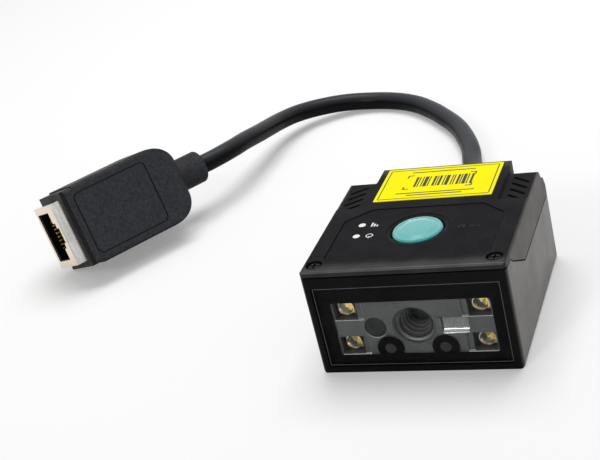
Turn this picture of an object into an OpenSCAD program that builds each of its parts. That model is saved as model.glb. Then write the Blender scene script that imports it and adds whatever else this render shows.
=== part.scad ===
// Fixed-mount barcode reader with a push button on top and a short cable that ends in an inline socket.
// Millimetres. +X is to the right of someone facing the scan window, +Y to the rear, +Z up.
// The origin is the middle of the underside of the housing.

/* [Housing] */
// Width of the housing across the scan window
body_w = 41.5; // [36:0.5:60]
// Depth of the housing from window to rear wall
body_d = 44; // [42:0.5:60]
// Height of the housing to its top face
body_h = 23.6; // [22:0.2:34]
// Radius of the upright corners
corner_r = 1.0; // [0.6:0.1:2]
// Radius of the long edges that run front to back
edge_r = 0.8; // [0.4:0.1:1.5]
// Wall of the lower housing
wall = 1.8; // [1.5:0.1:2.4]
// Thickness of the floor
floor_t = 1.8; // [1.4:0.1:3]
// Height of the parting line along the sides and rear
split_h = 15.4; // [13:0.1:17]
// Thickness of the cover's front bar above the front frame
lid_t = 1.55; // [1.4:0.05:2.4]
// Depth of the frame's top bar behind the front face
front_bar_d = 3.8; // [3.4:0.1:5]
// Distance from the front bar to the upper end of the skirt's slant
skirt_lead = 1.2; // [1:0.1:3]
// Length of the slanted front end of the skirt
skirt_slant = 10; // [6:0.5:12]
// Gap at the parting line
split_gap = 0.3; // [0.1:0.05:0.4]
// Height of the tongue that rises inside the skirt
lip_h = 1.2; // [0.8:0.1:2]
// Thickness of the tongue
lip_t = 0.7; // [0.5:0.05:0.9]

/* [Top cover] */
// Thickness of the cover's roof
roof_t = 2.0; // [1.8:0.1:2.6]
// Thickness of the cover's side skirt
skirt_t = 1.0; // [0.8:0.1:1.2]
// Width of an ear beside the raised middle that runs to the rear
ear_w = 6.45; // [5.5:0.05:7.5]
// How far the two ears end short of the rear face
ear_short = 5.6; // [4:0.2:7]
// How much lower the ears are than the middle
ear_drop = 0.6; // [0.4:0.1:0.8]
// Front end of the lowered ears, from the rear face
ear_len = 17.8; // [17:0.2:19]
// Run of the sloping walls of the lowered ears
ear_slope = 0.45; // [0.2:0.05:0.8]
// Radius where the raised middle meets the ears' rear edge
ear_fillet_r = 2; // [1:0.2:3]
// How far the small step in the ears' slanted rear lies below the top face
ear_step_drop = 3.4; // [2.6:0.1:4.2]
// Length of the small step in the ears' slanted rear
ear_step_d = 1.2; // [0.8:0.1:1.6]
// Height of the upright foot of an ear's slanted rear above the parting line
ear_foot = 0.8; // [0.6:0.1:1.6]
// Number of vent grooves in each ear
vent_count = 4; // [2:1:4]
// Distance from one vent groove to the next
vent_pitch = 2.65; // [2.2:0.05:2.8]
// Length of a vent groove
vent_len = 4.5; // [3:0.1:5]
// Width of a vent groove
vent_w = 0.75; // [0.5:0.05:1]
// Depth of a vent groove
vent_depth = 0.6; // [0.3:0.1:0.8]
// Slant of the vent grooves across the ears
vent_angle = 37; // [25:1:45]
// Radius of the front edge of the cover
front_edge_r = 0.6; // [0.3:0.1:0.9]

/* [Fasteners] */
// Distance of a cover screw from the side of the housing
screw_inset_x = 2.6; // [2.4:0.1:3.2]
// Distance of a cover screw from the front face
screw_inset_y = 2.8; // [2.8:0.1:3.2]
// Radius of a cover screw's head
screw_head_r = 1.5; // [1.3:0.05:1.6]
// Height of a cover screw's head
screw_head_h = 0.75; // [0.6:0.05:0.9]
// Radius of a cover screw's shank
screw_r = 0.65; // [0.5:0.05:0.75]
// Length of a cover screw's shank
screw_len = 5.5; // [4:0.5:8]
// Width across the arms of the cross recess
cross_w = 1.7; // [1.2:0.1:2]
// Distance of the mounting holes from the sides of the housing
mount_side = 5.75; // [5.25:0.25:7]
// Distance of the front pair of mounting holes from the engine's board
mount_front = 7.5; // [4:0.1:8.5]
// Distance of the rear pair of mounting holes from the rear face
mount_rear = 6; // [6:0.5:7]
// Radius of the tapped hole in a mounting insert
insert_hole_r = 1.25; // [1:0.05:1.6]
// Outer radius of a mounting insert
insert_r = 2.1; // [1.9:0.1:2.3]
// Length of a mounting insert
insert_len = 5; // [4:0.5:6]
// Wall of the boss around a mounting insert
boss_wall = 1.2; // [1:0.1:1.4]

/* [Scan window] */
// Width of the front frame beside the window plate
frame_side = 1.75; // [1.6:0.05:3]
// Height of the front frame above the window plate
frame_top = 2.35; // [2:0.05:3.5]
// Thickness of the window plate
window_t = 0.8; // [0.6:0.1:1.2]
// Height of the window plate's lower edge
window_z = 1.4; // [1.2:0.1:2]
// How far the window lies behind the front face
window_recess = 0.3; // [0.1:0.05:0.5]
// Width of the printed border beside the clear field
border_side = 2.75; // [2:0.05:4]
// Height of the printed border above the clear field
border_top = 4.1; // [3:0.1:5]
// Height of the clear field's lower edge
clear_z = 3.4; // [3.2:0.1:4.5]
// Corner radius of the clear field
clear_r = 0.6; // [0.3:0.1:1.5]
// Thickness of the printed mask
mask_t = 0.15; // [0.1:0.05:0.2]
// Thickness of the foam seal
seal_t = 0.35; // [0.3:0.05:0.6]
// Clearance around the window plate
window_gap = 0.1; // [0.05:0.05:0.2]
// Distance between the two sensor eyes
eye_pitch = 11.3; // [10:0.1:12]
// Height of the sensor eyes
eye_z = 4.8; // [4.4:0.1:5.4]
// Outer radius of the printed ring round a sensor eye
eye_ring_r = 2.7; // [2.2:0.1:3]
// Radius of the clear middle of a sensor eye
eye_r = 1.15; // [0.8:0.05:1.4]

/* [Scan engine] */
// How far the engine's front block reaches past the clear field on each side
engine_over = 0.4; // [0.3:0.1:0.7]
// Depth of the engine's front block
engine_d = 11; // [10:0.5:12]
// Gap between the engine's front block and what lies round it
engine_gap = 0.25; // [0.2:0.05:0.4]
// How far the optical axes lie below the middle of the clear field
optic_drop = 0; // [-0.4:0.1:0.6]
// Radius of the camera's front opening
camera_hole_r = 4.0; // [3.6:0.1:4.2]
// Outer radius of the lens barrel
barrel_r = 3.5; // [3.2:0.1:3.6]
// Number of anti-glare steps in the lens barrel
baffle_steps = 4; // [3:1:5]
// Depth of one anti-glare step
baffle_pitch = 1.1; // [0.8:0.1:1.2]
// Radius of the camera lens
lens_r = 2.2; // [1.8:0.1:2.6]
// Distance of the aimer's opening from the camera's axis
aimer_x = 8.0; // [7.6:0.1:8.6]
// Radius of the aimer's opening
aimer_hole_r = 2.3; // [1.8:0.1:2.5]
// Distance of the light bar from the camera's axis
bar_x = 8.3; // [7.8:0.1:8.4]
// Width of the light bar
bar_w = 5.2; // [4:0.1:5.3]
// Height of the light bar
bar_h = 3.3; // [2.6:0.1:3.4]
// Height of the foot along the light bar's lower edge
bar_foot = 0.5; // [0.3:0.1:0.8]
// How far the foot of the light bar stands out
bar_step = 0.6; // [0.3:0.1:0.8]
// Distance of the lamps from the sides of the engine's front block
lamp_inset = 2.9; // [2.6:0.1:3.4]
// How far the middle of the lamp pattern lies below the middle of the clear field
lamp_drop = 0; // [-0.4:0.1:0.4]
// Side of a lamp's base
lamp_side = 3.2; // [2.6:0.1:3.4]
// Thickness of a lamp's base
lamp_t = 0.7; // [0.5:0.1:1]
// Radius of a lamp's clear dome
dome_r = 1.25; // [0.9:0.05:1.4]
// Depth of the lamp pockets in the block's front face
pocket_d = 2.8; // [2.2:0.1:3.4]
// Width of the shallow step beside a lamp pocket
step_w = 1.2; // [0.6:0.1:1.6]
// Depth of the shallow step beside a lamp pocket
step_d = 0.4; // [0.2:0.1:0.8]
// Height of a lamp pocket
pocket_h = 4.2; // [3.6:0.1:4.6]

/* [Control panel] */
// Distance of the inlaid panel from the sides of the housing
panel_side = 4.0; // [3.6:0.1:6]
// Distance of the panel's front edge from the front face
panel_front = 4.1; // [4:0.1:5]
// Distance of the panel's rear edge from the front end of the ears
panel_rear = 1.0; // [0.6:0.1:2]
// How much narrower than the raised middle the panel's rear edge is on each side
panel_taper = 2.6; // [1.8:0.1:4]
// Length of the slanted rear corners, front to back
panel_slant = 4.6; // [3:0.1:6]
// Size of the small front corner cuts
panel_cut = 1.15; // [0.5:0.05:2]
// Thickness of the panel
panel_t = 0.35; // [0.25:0.05:0.5]
// How far the panel lies below the top face
panel_sink = 0.15; // [0.1:0.05:0.25]
// Clearance round the panel
panel_gap = 0.12; // [0.08:0.02:0.2]
// How far the button lies behind the middle of the panel
button_back = 1.15; // [0.8:0.05:1.6]
// Radius of the button cap
button_r = 5.2; // [4.6:0.1:5.4]
// How far the cap stands above the top face
button_proud = 0.2; // [0.1:0.05:0.4]
// Travel of the button
button_travel = 0.5; // [0.3:0.05:0.6]
// Gap between the cap and the hole that it moves in
button_gap = 0.4; // [0.3:0.05:0.5]
// Width of the dark ring round the button
ring_w = 0.85; // [0.6:0.05:1]
// Width of the cap's raised rim
rim_w = 0.7; // [0.5:0.05:1]
// Radius of the indicator lights
pipe_r = 0.75; // [0.6:0.05:0.9]
// Distance of the indicator lights from the side of the panel
pipe_side = 4.25; // [3.8:0.05:4.8]
// How far the front indicator light lies before the middle of the button
pipe_lead = 1.7; // [1.2:0.1:2.2]
// Distance between the indicator lights
pipe_pitch = 4.7; // [4.2:0.1:5]
// Distance of the sticker from the sides of the raised middle
label_side = 1.5; // [1.2:0.1:4]
// Length of the sticker, front to back
label_d = 14.9; // [12:0.1:15]
// Distance of the sticker from the rear face
label_rear = 0.6; // [0.5:0.1:1.5]
// Thickness of the sticker
label_t = 0.12; // [0.08:0.02:0.2]

/* [Boards] */
// Thickness of the boards
board_t = 1.0; // [0.8:0.1:1.2]
// Distance of the main board from the cover's roof
board_drop = 4.0; // [3.8:0.1:4.4]
// Gap between the main board and the side walls
board_side = 0.95; // [0.5:0.05:2]
// Distance of the main board's front edge from the front face
board_front = 9; // [8:0.5:10]
// Distance of the main board's rear edge from the rear face
board_rear = 7; // [6.5:0.5:8]
// Distance of the board's screws from its sides
board_screw_inset = 1.6; // [1.5:0.1:2]
// Radius of the bosses that carry the main board
board_boss_r = 1.5; // [1.3:0.1:1.6]
// Length of a board screw in its boss
board_screw_len = 2.5; // [2:0.1:2.8]
// Side of the decoder chip
chip_side = 9; // [7:0.5:10]
// Thickness of the decoder chip
chip_t = 1.2; // [0.8:0.1:1.6]
// Gap between the decoder chip and its neighbours
chip_gap = 0.5; // [0.3:0.1:2]
// Width of the memory chip
memory_w = 6; // [4:0.5:8]
// Depth of the memory chip
memory_d = 5; // [4:0.5:8]
// Distance of the memory chip's middle from the middle of the board
memory_x = 10; // [9:0.1:11]
// Width of the engine's ribbon
flex_w = 8; // [5:0.5:9]
// Distance of the ribbon's middle from the middle of the board
flex_x = 9.5; // [9:0.1:10]
// Side of the push switch's body
switch_side = 6; // [5:0.5:6.5]
// Height of the push switch's body
switch_h = 1.6; // [1.4:0.1:1.8]
// Radius of the push switch's stem
stem_r = 1.5; // [1.2:0.1:1.8]
// Gap round the push switch's stem
stem_gap = 0.3; // [0.2:0.05:0.4]
// Radius of the beeper
beeper_r = 4.5; // [3.5:0.1:5]
// Height of the beeper
beeper_h = 3.0; // [2:0.1:3.2]
// Distance of the beeper's middle from the middle of the board
beeper_x = 8.5; // [7.5:0.1:9.5]
// Distance of the beeper from the board's rear edge
beeper_rear = 1.0; // [0.5:0.1:2]

/* [Cable] */
// Diameter of the cable
cable_d = 5; // [4:0.1:5.4]
// Height at which the cable leaves the rear wall
cable_z = 10; // [9.5:0.1:10.5]
// Length of the strain relief behind the rear wall
relief_len = 5.5; // [5:0.5:6]
// Radius of the strain relief at the rear wall
relief_r = 4.2; // [3.8:0.1:4.6]
// Radius of the strain relief at its free end
relief_tip_r = 3.3; // [3.2:0.05:3.6]
// Depth to which the cable sits in the strain relief and in the connector's collar
cable_seat = 3; // [2:0.5:4]
// Clearance round the cable in its seats
cable_gap = 0.1; // [0.05:0.05:0.2]

// Distance of the cable's header from the rear face
header_rear = 11; // [10:0.5:12]
// Width of the cable's header
header_w = 10; // [8:0.5:12]
// Depth of the cable's header
header_d = 4; // [3:0.1:5]
// How much smaller the plug is than its header on each side
plug_in = 0.4; // [0.2:0.05:0.6]
// Length of the plug in its header's line
plug_h = 4.2; // [3.8:0.1:4.6]

/* [Connector] */
// Width of the connector's moulding
conn_w = 20.6; // [19.6:0.1:22]
// Thickness of the connector's moulding
conn_t = 17.6; // [16.6:0.1:19]
// Length of the connector's moulding without its collar
conn_len = 32.6; // [30:0.1:38]
// Radius of the moulding's long edges
conn_edge_r = 1.0; // [0.6:0.1:2]
// Radius of the moulding's rear corners across its width
conn_rear_r = 8.5; // [6:0.5:9]
// Radius of the moulding's rear corners across its thickness
conn_side_r = 4.2; // [3:0.1:4.4]
// Chamfer of the moulding's front edges
conn_chamfer = 0.9; // [0.5:0.1:1.4]
// Length of the slightly narrower nose
nose_len = 3.2; // [2.4:0.1:4]
// How much the nose is narrower on each side
nose_step = 0.4; // [0.2:0.1:0.6]
// Radius of the collar round the cable
collar_r = 4.3; // [3.8:0.05:4.6]
// Length of the collar
collar_len = 8.4; // [6:0.1:10]
// Width of the socket's metal shell
shell_w = 16.3; // [15.9:0.1:16.8]
// Thickness of the socket across its metal shell
shell_t = 12.6; // [12.2:0.1:13]
// Length of the metal shell
shell_len = 16; // [14:0.5:18]
// How far the shell stands out of the moulding
shell_out = 3; // [2:0.5:4]
// Sheet thickness of the shell
sheet_t = 0.4; // [0.3:0.05:0.5]
// Width of the socket's mouth
mouth_w = 12.4; // [11.6:0.1:12.8]
// Height of the socket's mouth
mouth_t = 7.5; // [7:0.1:8]
// How far the mouth lies off the middle, away from its keyway
mouth_off = 1.1; // [0.8:0.1:1.2]
// Width of the keyway's outer step
key_w = 6.4; // [5.6:0.1:7]
// Depth of the keyway's outer step
key_d = 1.4; // [1:0.1:1.6]
// Width of the keyway's inner step
slot_w = 3.7; // [3:0.1:4.4]
// Depth of the keyway's inner step
slot_d = 2.6; // [2:0.1:2.7]
// Depth of the socket's mouth
mouth_d = 11; // [9:0.5:12]
// Number of contacts in the socket
contact_count = 8; // [4:1:8]
// Distance from one contact to the next
contact_pitch = 1.02; // [0.9:0.01:1.2]
// Distance of the grip field from the moulding's front
grip_front = 2.45; // [2:0.05:5]
// Distance of the grip field from the moulding's rear
grip_rear = 9.3; // [8:0.1:12]
// Distance of the grip field from the moulding's long edges
grip_side = 2.1; // [1.6:0.1:4]
// Corner radius of the grip field
grip_r = 1.6; // [1:0.1:2.5]
// Width of the groove round the grip field
groove_w = 0.35; // [0.2:0.05:0.6]
// Depth of the groove round the grip field
groove_d = 0.3; // [0.2:0.05:0.5]
// Lean of the connector about its own length
conn_tilt = 20.5; // [0:0.5:30]

/* [Hidden] */
$fn = 48;

// Amount by which a cutter runs past the face that it opens
eps = 0.05;
half_w = body_w / 2;
half_d = body_d / 2;
front_y = -half_d;
roof_z = body_h - roof_t;
frame_h = body_h - lid_t;

// Parting line in the side view, front to rear
bar_y = front_y + front_bar_d;
skirt_top_y = bar_y + skirt_lead;
skirt_y = skirt_top_y + skirt_slant;
skirt_top_h = frame_h - 1.15;

// Ears
middle_w = body_w - 2 * ear_w;
middle_x = middle_w / 2;
ear_rear_y = half_d - ear_short;
ear_front_y = half_d - ear_len;
ear_top_h = body_h - ear_drop;
ear_step_h = body_h - ear_step_drop;
ear_foot_h = split_h + ear_foot;
ear_slant_y = ear_rear_y + (body_h - ear_step_h) * 0.62;
ear_wall = 1.3;
vent_x = (middle_x + ear_slope + half_w) / 2;
vent_first_y = ear_rear_y - 2.75;

// Window stack, front to rear
window_w = body_w - 2 * frame_side;
window_h = frame_h - frame_top - window_z;
clear_w = window_w - 2 * border_side;
clear_h = window_z + window_h - border_top - clear_z;
engine_w = clear_w + 2 * engine_over;
window_y = front_y + window_recess;
mask_y = window_y + window_t;
seal_y = mask_y + mask_t;
ledge_y = seal_y + seal_t;
ledge_t = 1.6;
cavity_y = ledge_y + ledge_t;
window_mid_z = window_z + window_h / 2;
clear_mid_z = clear_z + clear_h / 2;
ledge_open_w = engine_w + 2 * engine_gap;
ledge_open_h = clear_h + 2;

// Scan engine
optic_z = clear_mid_z - optic_drop;
lamp_mid_z = clear_mid_z - lamp_drop;
lamp_x = engine_w - 2 * lamp_inset;
rib_h = clear_h - 2 * pocket_h;
board_z = roof_z - board_drop - board_t;
engine_y = seal_y + engine_gap;
engine_rear_y = engine_y + engine_d;
engine_top = board_z - engine_gap;
engine_front_h = ledge_open_h - 2 * engine_gap;
engine_board_y = engine_rear_y;
pocket_y = engine_y + pocket_d;
pocket_in = lamp_x / 2 - 2.5;
pocket_rim = 0.7;
lamp_rise = (rib_h + pocket_h) / 2;
lamp_zs = [lamp_mid_z - lamp_rise, lamp_mid_z + lamp_rise];
barrel_y = engine_y + 1.3;
barrel_end_y = engine_rear_y - 1.5;
barrel_lip = 0.3;
baffle_in = (barrel_r - barrel_lip - lens_r - 0.1) / (baffle_steps - 1);
lens_y = barrel_y + baffle_steps * baffle_pitch;
lens_t = 1.1;
aimer_seat = 1.2;
sensor_side = 6;
sensor_t = 1.1;
rib_t = 1.6;

// Boards and control
board_top = board_z + board_t;
board_w = body_w - 2 * (wall + board_side);
board_y0 = front_y + board_front;
board_y1 = half_d - board_rear;
beeper_y = board_y1 - beeper_r - beeper_rear;
board_screw_x = board_w / 2 - board_screw_inset;
board_screw_ys = [board_y0 + 8.5, board_y1 - board_screw_inset];
panel_w = body_w - 2 * panel_side;
panel_rear_w = middle_w - 2 * panel_taper;
panel_y0 = front_y + panel_front;
panel_y1 = ear_front_y - panel_rear;
btn_y = (panel_y0 + panel_y1) / 2 + button_back;
btn_top = body_h + button_proud;
btn_hole_r = button_r + button_gap;
ring_out_r = btn_hole_r + ring_w;
ring_h = 1.05;
ring_dish = 0.15;
ring_floor_h = body_h - 1.3;
flange_r = btn_hole_r + 0.7;
flange_t = 0.8;
flange_top = roof_z - 0.1;
stem_top = board_top + switch_h + button_travel + 0.3;
stem_hole_z = board_top + 0.3;
stem_low = stem_hole_z + button_travel + 0.1;
panel_top = body_h - panel_sink;
panel_seat = panel_top - panel_t;
pipe_x = panel_w / 2 - pipe_side;
pipe_ys = [btn_y - pipe_lead, btn_y - pipe_lead + pipe_pitch];
label_w = middle_w - 2 * label_side;
pipe_lamp_h = 0.8;
mount_x = body_w - 2 * mount_side;
mount_y1 = half_d - mount_rear;
mount_y0 = engine_board_y + board_t + mount_front;
insert_boss_r = insert_r + boss_wall;
cover_screw_x = half_w - screw_inset_x;
cover_screw_y = front_y + screw_inset_y;
screw_seat = body_h - screw_head_h - 0.15;

// Cable and connector. The cable lies on the surface that the reader stands on.
cable_r = cable_d / 2;
relief_end_y = half_d + relief_len;
gland_neck_r = 3;
gland_flange_t = 1.4;
header_y = half_d - header_rear;
header_z = cable_z + 2.4;
plug_z = header_z - plug_h;
chip_y = header_y - header_d / 2 - chip_gap - chip_side;
conn_x = -102.5;
conn_y = 21.6;
conn_heading = 54.5;
conn_z = conn_edge_r + (conn_w / 2 - conn_edge_r) * cos(conn_tilt)
    + (conn_t / 2 - conn_edge_r) * sin(conn_tilt);
collar_end = shell_out + conn_len + collar_len;
cable_end = collar_end - cable_seat;
collar_round = 0.8;
mouth_low = -mouth_off - mouth_t / 2;
cable_sides = 12;
function on_axis(d) = [conn_x + d * cos(conn_heading), conn_y + d * sin(conn_heading), conn_z];
cable_route = concat(
    [[0, relief_end_y - cable_seat, cable_z], [0, relief_end_y, cable_z], [0, 33, cable_z], [-0.5, 39, 9.2],
     [-1.5, 46, 7.2], [-3, 53, 4.8], [-4.8, 60, 3], [-7, 67, cable_r], [-9, 75, cable_r], [-12, 83, cable_r],
     [-16, 91, cable_r], [-21, 98, cable_r], [-26.5, 104.5, cable_r], [-32.5, 109.9, cable_r],
     [-39.3, 113.4, cable_r], [-46.8, 114.8, 2.7], [-54.2, 113.7, 3.4], [-60.8, 110, 4.3],
     [-65.8, 104.2, 5.4], [-68.5, 97, 6.6], [-69.4, 89.5, 8], [-69.7, 82, 9.6], [-70.3, 74.4, 11.2],
     [-71.6, 67, 12.2]],
    [on_axis(collar_end + 4), on_axis(collar_end), on_axis(cable_end)]);

// Unit vector along v
function unit(v) = v / norm(v);
// Direction of a route at its point i
function heading(route, i) =
    unit(route[min(i + 1, len(route) - 1)] - route[max(i - 1, 0)]);

// Rounded rectangle round the origin
module rounded(w, h, r) {
    square([w - 2 * r, h], center = true);
    square([w, h - 2 * r], center = true);
    for (x = [-1, 1], y = [-1, 1])
        translate([x * (w / 2 - r), y * (h / 2 - r)])
            circle(r);
}

// Turns a front-view outline (X, Z) into a block from y0 to y1
module front_block(y0, y1)
    translate([0, y1, 0])
        rotate([90, 0, 0])
            linear_extrude(y1 - y0)
                children();

// Turns a side-view outline (Y, Z) into a block across the width w
module side_block(w)
    rotate([90, 0, 90])
        linear_extrude(w, center = true)
            children();

// Cylinder along Y
module rod(r, y0, y1, x, z)
    translate([x, y0, z])
        rotate([-90, 0, 0])
            cylinder(r = r, h = y1 - y0);

// Cone along Y
module taper(r0, r1, y0, y1, x, z)
    translate([x, y0, z])
        rotate([-90, 0, 0])
            cylinder(r1 = r0, r2 = r1, h = y1 - y0);

// The left and right copies of a shape
module both_sides()
    for (side = [0, 1])
        mirror([side, 0, 0])
            children();

// Outer skin shared by the lower housing and the cover
module outer_skin() {
    intersection() {
        linear_extrude(body_h)
            rounded(body_w, body_d, corner_r);
        front_block(front_y - eps, half_d + eps)
            translate([0, body_h / 2])
                rounded(body_w, body_h, edge_r);
    }
}

// Side view of the lower housing, up to a parting line raised by lift
module lower_side_view(lift = 0)
    polygon([[front_y - eps, -eps], [half_d + eps, -eps], [half_d + eps, split_h + lift],
        [skirt_y, split_h + lift], [skirt_top_y, skirt_top_h + lift], [bar_y, frame_h + lift],
        [front_y - eps, frame_h + lift]]);

// Side view of the cover, from the parting line up to a rear outline given as points
module cover_side_view(rear)
    difference() {
        polygon(concat(
            [[skirt_y, split_h + split_gap], [skirt_top_y, skirt_top_h + split_gap],
             [bar_y, frame_h + split_gap], [front_y, frame_h + split_gap], [front_y, body_h]],
            rear));
        translate([front_y, body_h])
            difference() {
                square(2 * front_edge_r, center = true);
                translate([front_edge_r, -front_edge_r])
                    circle(front_edge_r);
            }
    }

// Outline of the inlaid panel, grown by gap
module panel_outline(gap = 0) {
    w = panel_w / 2 + gap;
    rear_x = panel_rear_w / 2 + gap * 0.4;
    y0 = panel_y0 - gap;
    y1 = panel_y1 + gap;
    polygon([[panel_cut - w, y0], [w - panel_cut, y0], [w, y0 + panel_cut], [w, y1 - panel_slant],
        [rear_x, y1], [-rear_x, y1], [-w, y1 - panel_slant], [-w, y0 + panel_cut]]);
}

// Housing

module insert_bosses()
    both_sides()
        for (y = [mount_y0, mount_y1])
            translate([mount_x / 2, y, 0])
                cylinder(r = insert_boss_r, h = insert_len + boss_wall);

module insert_holes(r, top)
    both_sides()
        for (y = [mount_y0, mount_y1])
            translate([mount_x / 2, y, -eps])
                cylinder(r = r, h = top + eps);

module lower_housing()
    color("#2b2b2e")
        difference() {
            union() {
                intersection() {
                    outer_skin();
                    difference() {
                        side_block(body_w)
                            lower_side_view();
                        // Inside of the tray
                        translate([0, (cavity_y + half_d - wall) / 2, floor_t])
                            linear_extrude(body_h)
                                square([body_w - 2 * wall, half_d - wall - cavity_y], center = true);
                    }
                }
                // Tongue inside the cover's skirt
                intersection() {
                    side_block(body_w)
                        difference() {
                            lower_side_view(lip_h);
                            translate([front_y - eps, -eps])
                                square([front_bar_d + 1.2, body_h]);
                        }
                    translate([0, 0, split_h - lip_h])
                        linear_extrude(roof_z - 0.3 - split_h + lip_h)
                            intersection() {
                                difference() {
                                    square([body_w - 2 * (wall - lip_t), body_d - 2 * (wall - lip_t)],
                                        center = true);
                                    square([body_w - 2 * wall, body_d - 2 * wall], center = true);
                                }
                                union() {
                                    translate([0, -wall - ear_wall])
                                        square([body_w, body_d], center = true);
                                    square([middle_w - 2 * ear_wall - 0.4, body_d], center = true);
                                }
                            }
                }
                // Posts for the cover's screws
                both_sides()
                    translate([ledge_open_w / 2, ledge_y, floor_t])
                        cube([half_w - wall - ledge_open_w / 2, front_bar_d - ledge_y + front_y + 1.2,
                              skirt_top_h - floor_t]);
                insert_bosses();
                // Ribs that hold the scan engine from behind
                both_sides()
                    translate([engine_w / 2 - 5, engine_board_y + board_t + 0.1, floor_t - eps])
                        cube([rib_t, 2 * rib_t, optic_z - floor_t]);
            }
            // Window seat and the opening behind it
            front_block(front_y - 1, ledge_y)
                translate([0, window_mid_z])
                    rounded(window_w + 2 * window_gap, window_h + 2 * window_gap, 0.5);
            front_block(ledge_y - 1, cavity_y + 1)
                translate([0, clear_mid_z])
                    square([ledge_open_w, ledge_open_h], center = true);
            both_sides()
                translate([cover_screw_x, cover_screw_y, frame_h - screw_len])
                    cylinder(r = screw_r + 0.05, h = screw_len + 1);
            rod(gland_neck_r + cable_gap, half_d - 2 * wall, half_d + 1, 0, cable_z);
            insert_holes(insert_r + 0.02, insert_len);
        }

module top_cover()
    color("#3a3a3e")
        difference() {
            union() {
                intersection() {
                    outer_skin();
                    union() {
                        side_block(middle_w)
                            cover_side_view([[half_d, body_h], [half_d, split_h + split_gap]]);
                        side_block(body_w)
                            cover_side_view([[ear_rear_y, body_h], [ear_slant_y, ear_step_h],
                                [ear_slant_y + ear_step_d, ear_step_h], [half_d, ear_foot_h],
                                [half_d, split_h + split_gap]]);
                        // Hollow fillets beside the raised middle
                        both_sides()
                            translate([middle_x - eps, ear_rear_y - eps, split_h + 1])
                                linear_extrude(ear_top_h - split_h - 1)
                                    difference() {
                                        square(ear_fillet_r);
                                        translate([ear_fillet_r, ear_fillet_r])
                                            circle(ear_fillet_r);
                                    }
                    }
                }
            }
            // Inside, under the ears and under the raised middle
            difference() {
                intersection() {
                    translate([0, 0, -eps])
                        linear_extrude(roof_z + eps)
                            square([body_w - 2 * skirt_t, body_d - 2 * skirt_t], center = true);
                    union() {
                        side_block(body_w)
                            polygon([[bar_y + 1, 0], [half_d - ear_wall, 0],
                                [half_d - ear_wall, ear_foot_h - ear_wall],
                                [ear_slant_y, ear_step_h - ear_wall], [ear_rear_y - ear_wall, roof_z],
                                [bar_y + 1, roof_z]]);
                        side_block(middle_w - 2 * ear_wall)
                            translate([bar_y + 1, 0])
                                square([half_d - skirt_t - bar_y - 1, roof_z]);
                    }
                }
                // Bosses that carry the main board
                both_sides()
                    for (y = board_screw_ys)
                        translate([board_screw_x, y, board_top])
                            cylinder(r = board_boss_r, h = body_h);
            }
            // Lowered ears with their grooves
            both_sides() {
                intersection() {
                    front_block(ear_front_y - 2, half_d + 1)
                        polygon([[middle_x, body_h + eps], [middle_x + ear_slope, ear_top_h],
                            [half_w + 1, ear_top_h], [half_w + 1, body_h + 1], [middle_x, body_h + 1]]);
                    side_block(2 * body_w)
                        polygon([[ear_front_y, body_h + eps], [ear_front_y + 2 * ear_slope, ear_top_h - eps],
                            [half_d + 1, ear_top_h - eps], [half_d + 1, body_h + 1],
                            [ear_front_y, body_h + 1]]);
                }
                for (i = [0 : vent_count - 1])
                    translate([vent_x, vent_first_y - i * vent_pitch, ear_top_h - vent_depth])
                        rotate([0, 0, -vent_angle])
                            linear_extrude(1)
                                rounded(vent_len, vent_w, vent_w / 2 - 0.01);
            }
            // Seats for panel, button, lights and screws
            translate([0, 0, panel_seat])
                linear_extrude(1)
                    panel_outline(panel_gap);
            translate([0, btn_y, ring_floor_h])
                cylinder(r = ring_out_r + 0.05, h = 2);
            translate([0, btn_y, 0])
                cylinder(r = btn_hole_r, h = body_h);
            for (y = pipe_ys)
                translate([-pipe_x, y, 0])
                    cylinder(r = pipe_r + 0.05, h = body_h);
            both_sides() {
                translate([cover_screw_x, cover_screw_y, screw_seat])
                    cylinder(r = screw_head_r + 0.2, h = 2);
                translate([cover_screw_x, cover_screw_y, 0])
                    cylinder(r = screw_r + 0.15, h = body_h);
                for (y = board_screw_ys)
                    translate([board_screw_x, y, board_top - 1])
                        cylinder(r = screw_r, h = 4);
            }
        }

module top_panel()
    color("#29292e")
        translate([0, 0, panel_seat])
            linear_extrude(panel_t)
                difference() {
                    panel_outline();
                    translate([0, btn_y])
                        circle(ring_out_r + 0.05);
                    for (y = pipe_ys)
                        translate([-pipe_x, y])
                            circle(pipe_r + 0.05);
                }

module rear_label()
    color("#fff000")
        translate([0, half_d - label_rear - label_d / 2, body_h])
            linear_extrude(label_t)
                rounded(label_w, label_d, 0.3);

// Pan head with a cross recess, head up, seated at the origin
module cross_screw(length) {
    difference() {
        union() {
            cylinder(r = screw_head_r, h = screw_head_h * 0.55);
            translate([0, 0, screw_head_h * 0.55])
                cylinder(r1 = screw_head_r, r2 = screw_head_r * 0.62, h = screw_head_h * 0.45);
        }
        for (turn = [0, 90])
            rotate([0, 0, turn])
                translate([0, 0, screw_head_h])
                    cube([cross_w, cross_w * 0.24, screw_head_h * 1.2], center = true);
    }
    translate([0, 0, -length])
        cylinder(r = screw_r, h = length + eps);
}

module cover_screws()
    color("#26262a")
        both_sides()
            translate([cover_screw_x, cover_screw_y, screw_seat])
                cross_screw(screw_len + screw_seat - frame_h - 0.3);

module mount_inserts()
    color("#b8923e")
        difference() {
            insert_holes(insert_r, insert_len);
            insert_holes(insert_hole_r, insert_len + 1);
            translate([0, 0, -1])
                linear_extrude(1)
                    square(2 * body_d, center = true);
        }

// Scan window

module scan_window()
    color("#808890", 0.35)
        front_block(window_y, mask_y)
            translate([0, window_mid_z])
                rounded(window_w, window_h, 0.4);

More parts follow.
